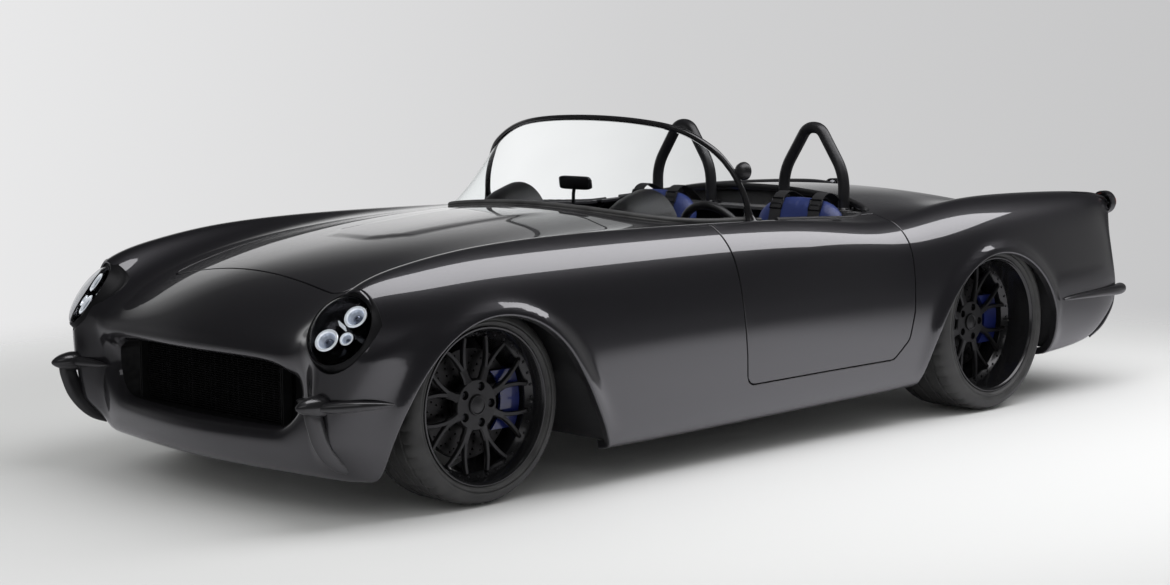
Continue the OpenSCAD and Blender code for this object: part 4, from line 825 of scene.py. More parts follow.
def disc(wheel, outer=178, inner=72, thick=26):
    """Vented disc: two drilled faces, the slot between them and the hat."""
    holes = [(r * math.cos(2 * math.pi * (k + 0.27 * row) / 24), r * math.sin(2 * math.pi * (k + 0.27 * row) / 24))
             for k in range(24) for row, r in enumerate((106, 128, 150, 165))]
    z = -wheel["dish"] - 24 - 38
    upper = moved(drilled(inner, outer - 1.5, holes, 4.0, 9, 22, 180), None, (0, 0, z + thick / 2))
    under = (upper[0] * [1, 1, -1] + [0, 0, 2 * z], flipped(upper[1]))
    h = thick / 2
    edge = lathe([(outer - 1.5, z + h), (outer, z + h - 1.5), (outer, z + 5), (outer - 12, z + 4),
                  (outer - 12, z - 4), (outer, z - 5),
                  (outer, z - h + 1.5), (outer - 1.5, z - h)], 96)
    hat = lathe([(30, z + 38), (60, z + 38), (67, z + 36), (68, z + 33), (68, z + h + 2), (inner, z + h),
                 (inner, z - h), (30, z - h)], 64)
    return join(upper, under, edge, hat)


def wheels():
    for end, wheel in WHEELS.items():
        lip, dish = wheel["lip"], wheel["dish"]
        valve = tube([(lip - 34, 12, -dish - 4), (lip - 44, 12, -dish + 22)], [4.5, 3.2], 10)
        table = (("tyre_tread_", tyre(wheel), RUBBER, "tyre_rubber", "tyre_", 32),
                 ("rim_barrel_", rim(wheel), LIP_BLACK, "black_rim", "rim_", 32),
                 ("spokes_", spider(wheel), RIM_BLACK, "black_rim", None, 38),
                 ("rivets_", wheel_fittings(wheel), STEEL_DARK, "black_rim", None, 38),
                 ("cap_", wheel_cap(wheel), RIM_BLACK, "black_rim", None, 38),
                 ("disc_", disc(wheel), IRON, "disc_iron", "hub_", 38),
                 ("valve_", valve, RUBBER, "tyre_rubber", None, 38))
        for side, word in SIDES:
            spot = end + "_" + word
            for name, part, look, slot, solid, sharp in table:
                piece(name + spot, at_wheel(part, side, wheel), look, "wheel_" + spot, slot,
                      [solid + spot] if solid else (), sharp=sharp)


# Points of the sheet, and those of its upper side and its flank
SHEET = surface(grid(np.linspace(0, SPANS_U, 331), np.linspace(0, SPANS_V, 161)))
UPPER, FLANK = SHEET[SHEET[:, 2] > TOP_Z], SHEET[SHEET[:, 1] > 690]


def seen_along(axis, cloud, places):
    """Mean of a coordinate over the four points of a cloud that lie nearest to each place, seen along that axis."""
    flat = np.delete(cloud, axis, 1)
    out = []
    for place in places:
        d = ((flat - place) ** 2).sum(1)
        near = np.argpartition(d, 4)[:4]
        w = 1 / (d[near] + 1)
        out.append((cloud[near, axis] * w).sum() / w.sum())
    return np.array(out)


def skin_z(x, y):
    """Height of the skin above places in plan."""
    return seen_along(2, UPPER, np.stack([x, np.abs(y)], 1))


def skin_y(x, z):
    """Half-width of the skin at places seen from the side."""
    return seen_along(1, FLANK, np.stack([x, z], 1))


def ray_line(centre, polygon, grow, angles, reach=1300):
    """Points of an outline, grown by a distance, along rays from a centre."""
    steps = np.linspace(0, reach, 1301)
    out = []
    for a in angles:
        p = np.asarray(centre, float) + steps[:, None] * [math.cos(a), math.sin(a)]
        out.append(p[np.argmax(polygon_distance(p, polygon) > grow)])
    return np.array(out)


# Wheel housings behind the arches
def housings():
    for word, line, depth, low, dip, room_round in (("front", ARCH_LINES[0], 395, 142, 21, 32),
                                                    ("rear", ARCH_LINES[1], 520, 182, 18, 24)):
        wheel = WHEELS[word]
        t = np.radians(np.linspace(-dip, 180 + dip, 86))
        ray = np.stack([np.cos(t), np.sin(t)], 1)
        centre = np.array([wheel["x"], wheel["r"]])
        reach = np.linspace(150, 640, 246)
        first_out = lambda d: np.argmax(polygon_distance(centre + reach[:, None] * d, line) > 9)
        edge = np.array([centre + d * reach[first_out(d)] for d in ray])
        round_r = wheel["r"] + room_round
        wide = np.where(np.linalg.norm(edge - centre, axis=1)[:, None] > round_r, edge, centre + ray * round_r)
        edge, wide = np.maximum(edge, [-1e4, low]), np.maximum(wide, [-1e4, low])
        outer_y = skin_y(edge[:, 0], edge[:, 1]) - 6 + 0.7 * FLARE * flare_share(edge[:, 1])
        lines = ((edge, outer_y), (wide, outer_y - 30), (wide, 700), (wide, depth + 30),
                 (wide * 0.94 + centre * 0.06, depth), (centre + ray * 130, depth - 4))
        points = np.concatenate([np.stack([shape[:, 0], np.broadcast_to(y, len(shape)), shape[:, 1]], 1)
                                 for shape, y in lines])
        faces = quads(len(lines), len(t))
        outward = np.tile(np.stack([ray[:, 0], np.zeros(len(t)), ray[:, 1]], 1), (len(lines), 1)) * 3
        part = (np.concatenate([points, points + outward - [0, 2, 0]]), faces + flipped(shifted(faces, len(points))))
        pairs([("housing_" + word, part, LINER, "black_steel")])


# Headlamps
def at_lamp(part, side):
    return on_side(moved(part, LAMP_AXES, LAMP), side)


LAMP_TURNS = circle(72)


def oval(grow, height):
    """Line round the lamp's oval, grown by a distance."""
    return np.stack([np.cos(LAMP_TURNS) * (LAMP_RX + grow), np.sin(LAMP_TURNS) * (LAMP_RY + grow),
                     np.broadcast_to(height, len(LAMP_TURNS))], 1)


def oval_sheet(lines):
    return np.stack(lines, 1).reshape(-1, 3), quads(len(LAMP_TURNS), len(lines), True, False)


def headlamps():
    near = (surface(grid(np.linspace(1.2, 5, 150), np.linspace(2, 7, 150))) - LAMP) @ LAMP_AXES
    near = near[np.abs(near[:, 2]) < 140]
    skin_at = [near[np.argmin(((near - spot)[:, :2] ** 2).sum(1)), 2] for spot in oval(17, 0)]
    skin_at = np.mean([np.roll(skin_at, k) for k in range(-3, 4)], 0)
    rows = [(-6, -46, 0), (-6, -5, 0), (-4, 1, 0), (0, 4, 0.08), (5, 5, 0.4), (10, 6, 0.75), (15, 5, 1), (18, 2, 1),
            (19.5, -10, 1)]
    bezel = oval_sheet([oval(grow, height + skin_at * share) for grow, height, share in rows])
    bowl = oval_sheet([oval(*row) for row in ((-7, -3), (-14, -22), (-34, -44), (-70, -52), (-100, -54))])
    rise = np.radians(np.linspace(0, 86, 12))
    rows = [oval(-5 - drop, -4 + (38 - drop) * math.sin(t)) * [math.cos(t), math.cos(t), 1]
            for drop in (0.0, 3.0) for t in rise]
    steps = len(LAMP_TURNS)
    count = len(rise) * steps
    faces = quads(len(rise), steps, False, True) + [tuple(range(count - steps, count))]
    lens = (np.concatenate(rows), faces + flipped(shifted(faces, count)))
    chrome, walls, cones, dark = [], [], [], []
    for x, y, r in ((38, -48, 37), (-34, 36, 38), (32, 28, 22)):
        put = lambda profile, steps=40: moved(lathe(profile, steps), None, (x, y, 4))
        chrome.append(put([(r * 0.72, -9), (r * 0.80, -3), (r * 0.94, -2), (r, -5)]))
        walls.append(put([(r, -5), (r + 1, -10), (r + 1, -50)]))
        cones.append(put([(r * 0.42, -34), (r * 0.52, -20), (r * 0.72, -9)]))
        dark.append(put([(0.2, -12), (r * 0.20, -13), (r * 0.34, -17), (r * 0.42, -26), (r * 0.42, -36)], 32))
    fins = [bar([(-34 + 5 * k, -46 + 7 * k, -34 + 2 * k), (-4 + 5 * k, -26 + 7 * k, -26 + 2 * k)], 5, 9, (0, 0, 1))
            for k in range(3)]
    # The cones, the reflector rings and the fins glow: painted reflection
    pairs([("lamp_bezel", bezel, BEZEL, "lamp_bezel", "headlamp_rims"),
           ("lamp_lens", lens, LENS, "lamp_glass", "headlamp_lenses"),
           ("lamp_bowl", join(bowl, *walls), BOWL, "lamp_bezel"),
           ("lamp_cones", join(*cones), GLOWING_CONE, "lamp_bezel"),
           ("lamp_reflectors", join(*chrome, *fins), GLOWING_CHROME, "lamp_bezel"),
           ("lamp_projectors", join(*dark), PROJECTOR, "lamp_glass")], at_lamp)


# Mouth: duct to the radiator, fine bars across it
def mouth():
    back_x, middle_z = -452, 372
    ring = surface(np.stack([np.zeros(60), np.linspace(0, SPANS_V, 60)], 1))
    ring = np.concatenate([ring, ring[-2:0:-1] * MIRROR])
    rows = []
    for t in np.linspace(0, 1, 5):
        back = ring * [0, 1 - 0.22 * t, 1] + [back_x, 0, 0]
        back[:, 2] += (back[:, 2] - middle_z) * 0.12 * t
        rows.append(ring * (1 - t) + back * t)
    inner = np.concatenate(rows)
    outer = inner + np.concatenate([(r - r.mean(0)) * [0, 1, 1] * 0.012 for r in rows])
    faces = quads(len(rows), len(ring), False, True)
    duct = (np.concatenate([inner, outer]), flipped(faces) + shifted(faces, len(inner)))
    piece("mouth_duct", duct, GRILLE, "root", "black_frame")
    slats = [block((-486, -388, z - 1.1), (-478, 388, z + 1.1), 0.8) for z in np.arange(262, 486, 7.5)]
    posts = [block((-480, y - 3, 258), (-466, y + 3, 490), 1) for y in (-388, -262, -131, 0, 131, 262, 388)]
    ends = [block((-505, y - 2, 268), (-470, y + 2, 480), 1) for y in (-405, -396, 396, 405)]
    piece("mouth_bars", join(*slats, *posts, *ends), GRILLE, "root", "radiator_core")


# Bumper spears and guard blades, from beads of x, y, z and radius
def bumpers():
    bullet = [[-671, 698, 380, 1], [-665, 698, 380, 9], [-651, 698, 380, 19], [-629, 698, 380, 28.5],
              [-603, 698, 379, 35], [-582, 698, 378, 36], [-570, 698, 378, 32], [-556, 697, 377, 23],
              [-530, 696, 377, 20], [-480, 692, 376, 18]]
    inner_line = [[-551, 541, 375, 1], [-557, 560, 376, 7], [-566, 590, 377, 13], [-578, 640, 378, 18.5],
                  [-587, 676, 378, 19], [-591, 694, 378, 12]]
    bar_line = [[-618, 716, 375, 2], [-602, 722, 375, 11], [-577, 737, 376, 18], [-547, 759, 377, 20],
                [-500, 795, 379, 17], [-448, 819, 378, 11], [-404, 833, 376, 2.5]]
    front_blade = [[-607, 698, 380, 27], [-610, 699, 357, 31], [-600, 700, 319, 31], [-583, 697, 275, 31],
                   [-553, 691, 232, 30], [-514, 685, 197, 27], [-467, 681, 168, 17]]
    rear_spear = [[3022, 901, 407, 3], [3060, 901, 408, 8], [3150, 897, 409, 12], [3280, 888, 409, 16],
                  [3450, 866, 407, 22], [3560, 822, 404, 25], [3610, 797, 402, 14], [3624, 789, 402, 5]]
    rear_blade = [[3592, 770, 385, 11], [3580, 769, 334, 12], [3550, 768, 291, 12], [3500, 767, 246, 11],
                  [3420, 766, 206, 7]]
    for word, spears, blade, flat, facing in (("front", [bullet, inner_line, bar_line], front_blade, 0.42, (0, 1, 0)),
                                              ("rear", [rear_spear], rear_blade, 0.6, (0.3, 1, 0))):
        lines = [smooth_line(beads, 10) for beads in spears]
        parts = [tube(line[:, :3], line[:, 3], 28, flat=0.92) for line in lines]
        line = smooth_line(blade, 10)
        parts.append(tube(line[:, :3], line[:, 3], 24, flat=flat, up=facing))
        pairs([(word + "_bumper", join(*parts), BUMPER, "bumper_paint", word + "_bumpers")])


# Tail lamps and the ridge on top of each pod
def tail_lamps():
    at_tail = lambda part: moved(part, turn("Y", 90), (3545, 742, 768))
    domes, r = [], 44
    for k, t in enumerate(np.linspace(0, math.pi / 2, 22)):
        ball = r - 1 + 0.8 * math.cos(k * math.pi)
        domes.append((ball * math.cos(t) + 0.05, 18 + ball * math.sin(t)))
    lens = lathe(domes[::-1] + [(r - 1, 0)], 48)
    ring = lathe([(r - 3, 24), (r + 1, 25), (r + 4, 22), (r + 5, 16), (r + 5, -14), (r - 2, -14)], 48)
    bulb = lathe([(0.2, 40), (7, 38), (11, 30), (11, 20), (30, 6), (r - 3, 2)], 32)
    crest = surface(np.stack([np.linspace(16.55, 18.55, 24), np.linspace(3.95, 4.05, 24)], 1)) + [0, 0, 2]
    ridge = tube(crest, 7.5 * np.sin(np.linspace(0.12, 2.3, 24)) + 0.6, 12, flat=0.8)
    pairs([("tail_lens", at_tail(lens), RED, "red_lens", "tail_lamps"),
           ("tail_ring", at_tail(ring), PAINT, "lamp_bezel"),
           ("tail_bulb", at_tail(bulb), CHROME, "lamp_bezel"),
           ("pod_ridge", ridge, BUMPER, "bumper_paint")])


# Solids that show as they are
def dressed():
    looks = ((FRAME_STEEL, "hood_straps lid_straps door_straps_left door_straps_right hinge_posts front_crossmember "
                           "rail_left rail_right cross_tubes front_axle rear_axle"),
             (CARPET, "floor_tub bulkheads"), (BLACK_HIDE, "dashboard"), (GRILLE, "radiator"),
             (SATIN, "steering_column"),
             (CAST, "engine_block knuckle_left knuckle_right"),
             (CALIPER, "caliper_front_left caliper_front_right calipers_rear"))
    for look, names in looks:
        for name in names.split():
            for place in NODES[name].material_slots:
                place.material = look


# Doors: the core behind the skin, a trimmed card inside it and a pull
def door_insides():
    middle = np.array([1570, 540.0])
    line = ray_line(middle, DOOR, PANEL_R - 28, circle(140))
    line[:, 1] = np.minimum(line[:, 1], 765)
    count = len(line)

    def row(scale, y):
        flat = middle + (line - middle) * scale
        return np.stack([flat[:, 0], np.broadcast_to(y, count), flat[:, 1]], 1)

    core = [row(1, skin_y(line[:, 0], line[:, 1]) - 9), row(1, 790), row(0.997, 785)]
    card = [row(0.99, 786), row(0.985, 779.5), row(0.972, 778), row(0.93, 778), row(0.922, 781), row(0.914, 778),
            row(0.6, 777.4), row(0.585, 780.5), row(0.57, 777.4), row(0.3, 776.8), row(0.02, 776.8)]
    core_part = (np.concatenate(core), quads(len(core), count, False, True))
    last = tuple(range((len(card) - 1) * count, len(card) * count))
    card_part = (np.concatenate(card), quads(len(card), count, False, True) + [last])
    pull = tube(rounded([(1420, 778, 640), (1420, 764, 640), (1580, 764, 628), (1580, 778, 628)], [0, 10, 10, 0]), 7,
                12)
    lever = join(tube([(1300, 777, 650), (1300, 766, 650), (1252, 765, 646)], [6, 6, 5], 12),
                 moved(lathe([(0.2, 3), (16, 2), (18, -3)], 24), turn("X", 90), (1300, 777, 650)))
    lip = ray_line(COCKPIT_MID, COCKPIT, PANEL_R, np.linspace(0.2, math.pi - 0.2, 400))
    lip = lip[(lip[:, 0] > 1440) & (lip[:, 0] < 1972)][::3]
    roll = tube(np.stack([lip[:, 0], lip[:, 1] + 3, skin_z(lip[:, 0], lip[:, 1] + 10) - 1], 1), 9, 14)
    pairs([("door_core", core_part, SATIN, "body_paint"), ("door_card", card_part, BLACK_HIDE, "dash_trim"),
           ("door_pull", join(pull, lever), STEEL, "cast_metal"), ("door_roll", roll, BLACK_HIDE, "dash_trim")],
           body="door")


def cockpit_rolls():
    line = ray_line(COCKPIT_MID, COCKPIT, PANEL_R, np.linspace(0, math.pi, 360))
    for name, keep in (("cockpit_roll_rear", line[:, 0] > 2014), ("cockpit_roll_front", line[:, 0] < 1385)):
        half = line[keep][::3]
        half = half[np.argsort(half[:, 1])]
        path = np.stack([half[:, 0], half[:, 1], skin_z(half[:, 0] + np.sign(half[:, 0] - COCKPIT_MID[0]) * 6,
                half[:, 1]) - 1], 1)
        whole = np.concatenate([path[::-1] * MIRROR, path[path[:, 1] > 8]])
        piece(name, tube(whole, 10, 14), BLACK_HIDE, "root", "dash_trim")


# Windscreen
RAIL_TOP = np.array([[1205, 0, 1177], [1214, 255, 1167], [1246, 439, 1137], [1267, 571, 1077], [1288, 635, 1015],
                     [1305, 677, 945],
                     [1318, 697, 880], [1326, 700, 822]], float)


def screen_lines(t):
    whole = np.concatenate([RAIL_TOP[:0:-1] * MIRROR, RAIL_TOP])
    top = smooth_line(whole, 60)
    top = top[len(top) // 2:]
    spot = t * (len(top) - 1)
    top = np.stack([np.interp(spot, np.arange(len(top)), top[:, k]) for k in range(3)], 1)
    w = np.sin(math.pi / 2 * t)
    x = 1262 - 337 * np.maximum(0, 1 - w ** 2.9) ** (1 / 2.9)
    base = np.stack([x + (1326 - x) * t ** 8, 690 * w, 869 - 47 * np.minimum(1, 1.05 * w * w)], 1)
    return top, base


def screen():
    t = np.linspace(0, 1, 60)
    top, base = screen_lines(t)
    twin = lambda p: np.concatenate([p[:0:-1] * MIRROR, p])
    swell = 11 + 9 * np.clip((t - 0.86) / 0.14, 0, 1) ** 2
    rail = tube(twin(top), np.concatenate([swell[:0:-1], swell]), 18)
    gasket = tube(twin(base), 13.5, 16, flat=0.85)
    lip = tube(twin(base + [-9, 0, -8]), 7, 12)
    feet = []
    for s in (1, -1):
        foot = smooth_line([[1318, 697 * s, 872], [1325, 702 * s, 838], [1330, 708 * s, 818], [1334, 714 * s, 806]],
                           6)
        feet.append(tube(foot, np.linspace(11, 24, len(foot)), 18))
    piece("screen_frame", join(rail, *feet), SCREEN_BLACK, "root", "black_frame", ["windscreen_frame"])
    piece("screen_gasket", join(gasket, lip), RUBBER, "root", "black_frame")
    top, base = screen_lines(np.linspace(0, 0.95, 44))
    sheet = np.stack([twin(base + (top - base) * w) for w in np.linspace(0.03, 0.97, 12)])
    rows, cols = sheet.shape[:2]
    out = unit(np.cross(np.gradient(sheet, axis=1), np.gradient(sheet, axis=0)))
    inner, outer = sheet.reshape(-1, 3), (sheet + 4.5 * out).reshape(-1, 3)
    n = len(inner)
    faces = quads(rows, cols)
    edge = list(range(cols)) + [r * cols + cols - 1 for r in range(1, rows)] + [n - 2 - k for k in range(cols - 1)]
    edge += [r * cols for r in range(rows - 2, 0, -1)]
    wall = [(b + n, a + n, a, b) for a, b in zip(edge, edge[1:] + edge[:1])]
    part = (np.concatenate([inner, outer]), flipped(faces) + shifted(faces, n) + wall)
    piece("screen_glass", part, GLASS, "root", "screen_glass", ["windscreen_glass"], sharp=50)


# Roll hoops
def hoops():
    path = rounded([[0, -152, 0], [0, -152, 145], [0, -34, 320.5], [0, 34, 320.5], [0, 152, 145], [0, 152, 0]],
                   [0, 60, 32, 32, 60, 0], 10)
    parts = []
    for y in (-350, 350):
        parts.append(moved(tube(path, 22.5, 24), None, (2100, y, 800)))
        for leg in (-152, 152):
            foot = lathe([(22.6, 12), (26, 6), (30, 4), (43, 4), (45, 2), (45, -1)], 40)
            bolts = [moved(lathe([(0.2, 9), (5, 9), (6, 8), (6, 0)], 6), None,
                           (35 * math.cos(a), 35 * math.sin(a), 3.5)) for a in np.arange(6) * math.pi / 3]
            parts.append(moved(join(foot, *bolts), None, (2100, y + leg, 801)))
    piece("hoop_tubes", join(*parts), SATIN, "root", "black_frame", ["roll_hoops"])


# Seats
def soft_form(half, power=0.36, rows=18, cols=36):
    """Rounded cushion form with its thickness along z."""
    f = lambda v, e: np.sign(v) * np.abs(v) ** e
    phi, theta = np.linspace(-math.pi / 2 + 0.02, math.pi / 2 - 0.02, rows), circle(cols)
    p, t = np.meshgrid(phi, theta, indexing="ij")
    points = np.stack([half[0] * f(np.cos(p), 0.5) * f(np.cos(t), power),
                       half[1] * f(np.cos(p), 0.5) * f(np.sin(t), power), half[2] * f(np.sin(p), 0.6)], -1)
    return points.reshape(-1, 3), capped(rows, cols)


def puffed(part, voxel=0.006, cap=10.0):
    """Swells a closed form under pressure as cloth does, at most by cap, and gives back its points and faces."""
    mesh = bpy.data.meshes.new("swelling")
    mesh.from_pydata((np.asarray(part[0]) / 1000).tolist(), [], [tuple(f) for f in part[1]])
    holder = bpy.data.objects.new("swelling", mesh)
    scene.collection.objects.link(holder)
    net = holder.modifiers.new("net", "REMESH")
    net.mode, net.voxel_size = "VOXEL", voxel
    baked = bpy.data.meshes.new_from_object(holder.evaluated_get(bpy.context.evaluated_depsgraph_get()))
    holder.modifiers.clear()
    holder.data = baked
    rest = np.array([v.co for v in baked.vertices])
    cloth = holder.modifiers.new("cloth", "CLOTH")
    cloth.settings.use_pressure, cloth.settings.uniform_pressure_force = True, 4
    cloth.settings.effector_weights.gravity = 0
    cloth.settings.quality = 3
    cloth.point_cache.frame_start, cloth.point_cache.frame_end = 1, 20
    for step in range(1, 21):
        scene.frame_set(step)
    swollen = holder.evaluated_get(bpy.context.evaluated_depsgraph_get()).to_mesh()
    now = np.array([v.co for v in swollen.vertices])
    faces = [tuple(f.vertices) for f in baked.polygons]
    move = now - rest
    length = np.maximum(np.linalg.norm(move, axis=1), 1e-9)
    rest = rest + move * np.minimum(1, cap / 1000 / length)[:, None]
    scene.frame_set(1)
    bpy.data.objects.remove(holder)
    return rest * 1000, faces


def channelled(part, lines, depth=5, width=6):
    """Presses sewn channels into the upper side, across x at the given lines."""
    points = np.array(part[0], float)
    top = points[:, 2] > 0
    for at in lines:
        points[:, 2] -= np.where(top, depth * np.exp(-((points[:, 0] - at) / width) ** 2), 0)
    return points, part[1]


def buckle(line, share):
    """Strap adjuster, laid along a line at a share of its length."""
    k = int(share * (len(line) - 1))
    tangent = unit(line[k + 1] - line[k - 1])
    across_y = unit(np.array([0, 1, 0]) - tangent * tangent[1])
    bars = (((-24, -31, -4), (-18, 31, 4)), ((18, -31, -4), (24, 31, 4)), ((-24, -31, -4), (24, -26, 4)),
            ((-24, 26, -4), (24, 31, 4)), ((-4, -28, -3), (4, 28, 5)))
    axes = np.stack([tangent, across_y, np.cross(tangent, across_y)], 1)
    return moved(join(*[block(low, high, 2) for low, high in bars]), axes, line[k])


def seats():
    base = channelled(puffed(soft_form((196, 150, 40)), cap=7), (-110, -55, 0, 55, 110))
    back = channelled(puffed(soft_form((232, 146, 36)), cap=7), (-150, -90, -30, 30, 90))
    upright = turn("Y", math.degrees(math.atan2(90, 450))) @ turn("Y", -90)
    side_cushion = puffed(soft_form((185, 38, 40), 0.5), cap=4)
    side_back = puffed(soft_form((165, 36, 42), 0.5), cap=4)
    crest = puffed(soft_form((125, 212, 40), 0.8), cap=4)
    piping_line = [(1540, 149, 372), (1700, 150, 400), (1850, 150, 402), (1905, 150, 430), (1915, 150, 560),
                   (1928, 148, 640)]
    strap_line = [(2128, 80, 810), (2082, 88, 842), (2035, 94, 868), (2000, 96, 873), (1967, 97, 854),
                  (1943, 97, 800),
                  (1928, 96, 740), (1921, 92, 690), (1911, 84, 600), (1886, 76, 480), (1860, 66, 424),
                  (1800, 44, 416)]
    lap_line = [(1890, -222, 330), (1868, -170, 420), (1800, -70, 420), (1790, 0, 417), (1800, 70, 420),
                (1868, 170, 420), (1890, 222, 330)]
    for side, word in SIDES:
        y = side * SEAT_Y
        beside = lambda line, s: smooth_line([(x, y + s * off, z) for x, off, z in line], 8)
        pads = [("cushion", moved(base, turn("Y", -4), (1716, y, 368))),
                ("back", moved(back, upright, (1952, y, 575)))]
        for s, name in ((-1, "inner"), (1, "outer")):
            pads.append(("cushion_" + name, moved(side_cushion, turn("Y", -6), (1738, y + s * 187, 386))))
            pads.append(("back_" + name, moved(side_back, turn("Y", 9) @ turn("Y", -90), (1922, y + s * 187, 545))))
        pads.append(("crest", moved(crest, upright, (1975, y, 735))))
        for k, (name, part) in enumerate(pads):
            made = piece("seat_%s_%s" % (name, word), part, BLUE_HIDE, "root", "seat_leather",
                         ["seat_" + word] if k == 0 else (), sharp=0)
        pan = moved(soft_form((205, 195, 62), 0.3), None, (1742, y, 282))
        spine = moved(soft_form((238, 178, 15), 0.42), upright, (1988, y, 570))
        piece("seat_shell_" + word, join(pan, spine), SATIN, "root", "black_frame", sharp=0)
        piping = [tube(beside(piping_line, s), 4, 8) for s in (-1, 1)]
        piece("seat_piping_" + word, join(*piping), BLACK_HIDE, "root", "seat_leather")
        straps, buckles = [], []
        for s in (-1, 1):
            line = beside(strap_line, s)
            straps.append(bar(line, 56, 3.4, np.cross(np.gradient(line, axis=0), [0, 1, 0])))
            buckles += [buckle(line, share) for share in (0.42, 0.70)]
        straps.append(bar(beside(lap_line, 1), 46, 3.2, (-0.3, 0, 1)))
        lock = moved(lathe([(0.2, 11), (14, 10), (17, 8), (17, 4), (29, 3), (31, 0), (31, -8)], 32), None,
                     (1795, y, 420))
        piece("harness_" + word, join(*straps), WEBBING, "root", "seat_leather")
        piece("harness_buckles_" + word, join(*buckles, lock), STEEL_DARK, "root", "black_steel")


# Steering wheel, dials, mirrors, gear lever, pedals and exhaust
def steering():
    a = circle(96)
    ring = np.stack([165 * np.cos(a), 165 * np.sin(a), np.zeros(96)], 1)
    grip = tube(ring, 15 + 1.2 * np.exp(-((np.degrees(a) % 120 - 60) / 12) ** 2), 18, closed=True)
    seam = tube(ring * 0.909 + [0, 0, 1], 1.6, 6, closed=True)
    spokes = []
    for deg in (90, 210, 330):
        spin = turn("Z", deg)
        for s in (-1, 1):
            spokes.append(moved(bar([(28, s * 13, 8), (70, s * 11, 4), (112, s * 9, 1), (153, s * 12, 0)],
                    [9, 8, 8, 10], 5, (0, 0, 1)), spin))
        spokes.append(moved(bar([(150, -17, 0), (151, 0, 0), (150, 17, 0)], 7, 5, (0, 0, 1)), spin))
    boss = lathe([(0.2, 15), (16, 14.5), (20, 13), (21, 11), (30, 11), (34, 8), (34, -10), (31, -20)], 48)
    bolts = [moved(lathe([(0.2, 4), (2.5, 4), (3.2, 3), (3.2, 0)], 10), None,
                   (26 * math.cos(t), 26 * math.sin(t), 10.5)) for t in np.arange(6) * math.pi / 3]
    put = lambda part: moved(part, turn("Y", 68), (1500, LEFT * SEAT_Y, 700))
    piece("wheel_grip", put(join(grip, seam)), BLACK_HIDE, "steering_wheel", "wheel_leather", ["steering_wheel"])
    piece("wheel_spokes", put(join(*spokes, boss, *bolts)), STEEL_DARK, "steering_wheel", "wheel_leather")


def dials():
    face = turn("Y", 90)
    rings, faces, marks = [], [], []
    for y, z, r in ((-396, 762, 40), (-304, 762, 40), (-350, 716, 20), (-350, 806, 16), (304, 762, 30),
                    (396, 762, 30), (350, 712, 20)):
        at = (1143, y, z)
        rings.append(moved(lathe([(r - 4, 1), (r - 2, 5), (r, 6), (r + 2, 4), (r + 2.5, -3)], 40), face, at))
        faces.append(moved(lathe([(0.2, 2), (r - 3, 1.4)], 40), face, at))
        for k in range(11):
            deg = 140 + k * 26
            marks.append(moved(moved(block((r * 0.72, -0.7, 1.6), (r * 0.88, 0.7, 2.6), 0.3), turn("Z", deg)), face,
                    at))
        marks.append(moved(moved(block((-r * 0.1, -0.8, 2.6), (r * 0.68, 0.8, 3.6), 0.4),
                turn("Z", 190 + 7 * abs(y) % 90)), face, at))
    toggles = []
    for k in range(6):
        knob = join(lathe([(3, 18), (3.6, 16), (2.2, 4), (7, 3), (8, 0)], 14), lathe([(0.2, 19), (3, 18)], 14))
        toggles.append(moved(knob, turn("Y", 80), (1166, -100 + k * 40, 742)))
    piece("dial_rings", join(*rings, *toggles), STEEL, "root", "cast_metal")
    piece("dial_faces", join(*faces), DIAL, "root", "dash_trim")
    piece("dial_marks", join(*marks), MARK, "root", "dash_trim")
    stitch = [moved(block((-5, -0.9, -0.9), (5, 0.9, 0.9), 0.5), turn("Z", 90), (1152, y, 803)) for y in range(-570,
            580, 16) if 110 < abs(abs(y) - 350) or abs(y) < 200]
    piece("dash_stitches", join(*stitch), BLUE_HIDE, "root", "dash_trim")


def mirrors():
    stem = tube(smooth_line([(1130, 0, 806), (1130, 0, 850), (1132, 0, 900), (1141, 0, 926)], 6), 6.5, 14)
    base = lathe([(7, 14), (9, 10), (18, 8), (22, 5), (22, 0)], 32)
    tilt = turn("Y", -8)
    casing = moved(moved(soft_form((25, 82, 13), 0.3), turn("Y", 90)), tilt, (1140, 0, 936))
    glass = moved(moved(soft_form((21, 77, 2), 0.25), turn("Y", 90)), tilt, (1153, 0, 935))
    bowl = lathe([(0.2, -34), (14, -33), (28, -26), (39, -14), (45, 2), (46, 12), (45, 17), (41, 18), (40, 14)][::-1],
                 48)
    disc_glass = lathe([(0.2, 14), (40.5, 14)], 48)
    round_at = lambda part: moved(part, 0.72 * turn("Y", 90), (1320, -676, 994))
    arm = tube(smooth_line([(1306, -640, 992), (1305, -652, 994), (1304, -664, 995), (1306, -676, 995)], 6), [8] * 19,
               14)
    piece("mirror_bodies", join(stem, moved(base, None, (1130, 0, 800)), casing, round_at(bowl), arm), SATIN, "root",
          "black_frame", ["mirrors"])
    piece("mirror_glasses", join(glass, round_at(disc_glass)), CHROME, "root", "screen_glass")


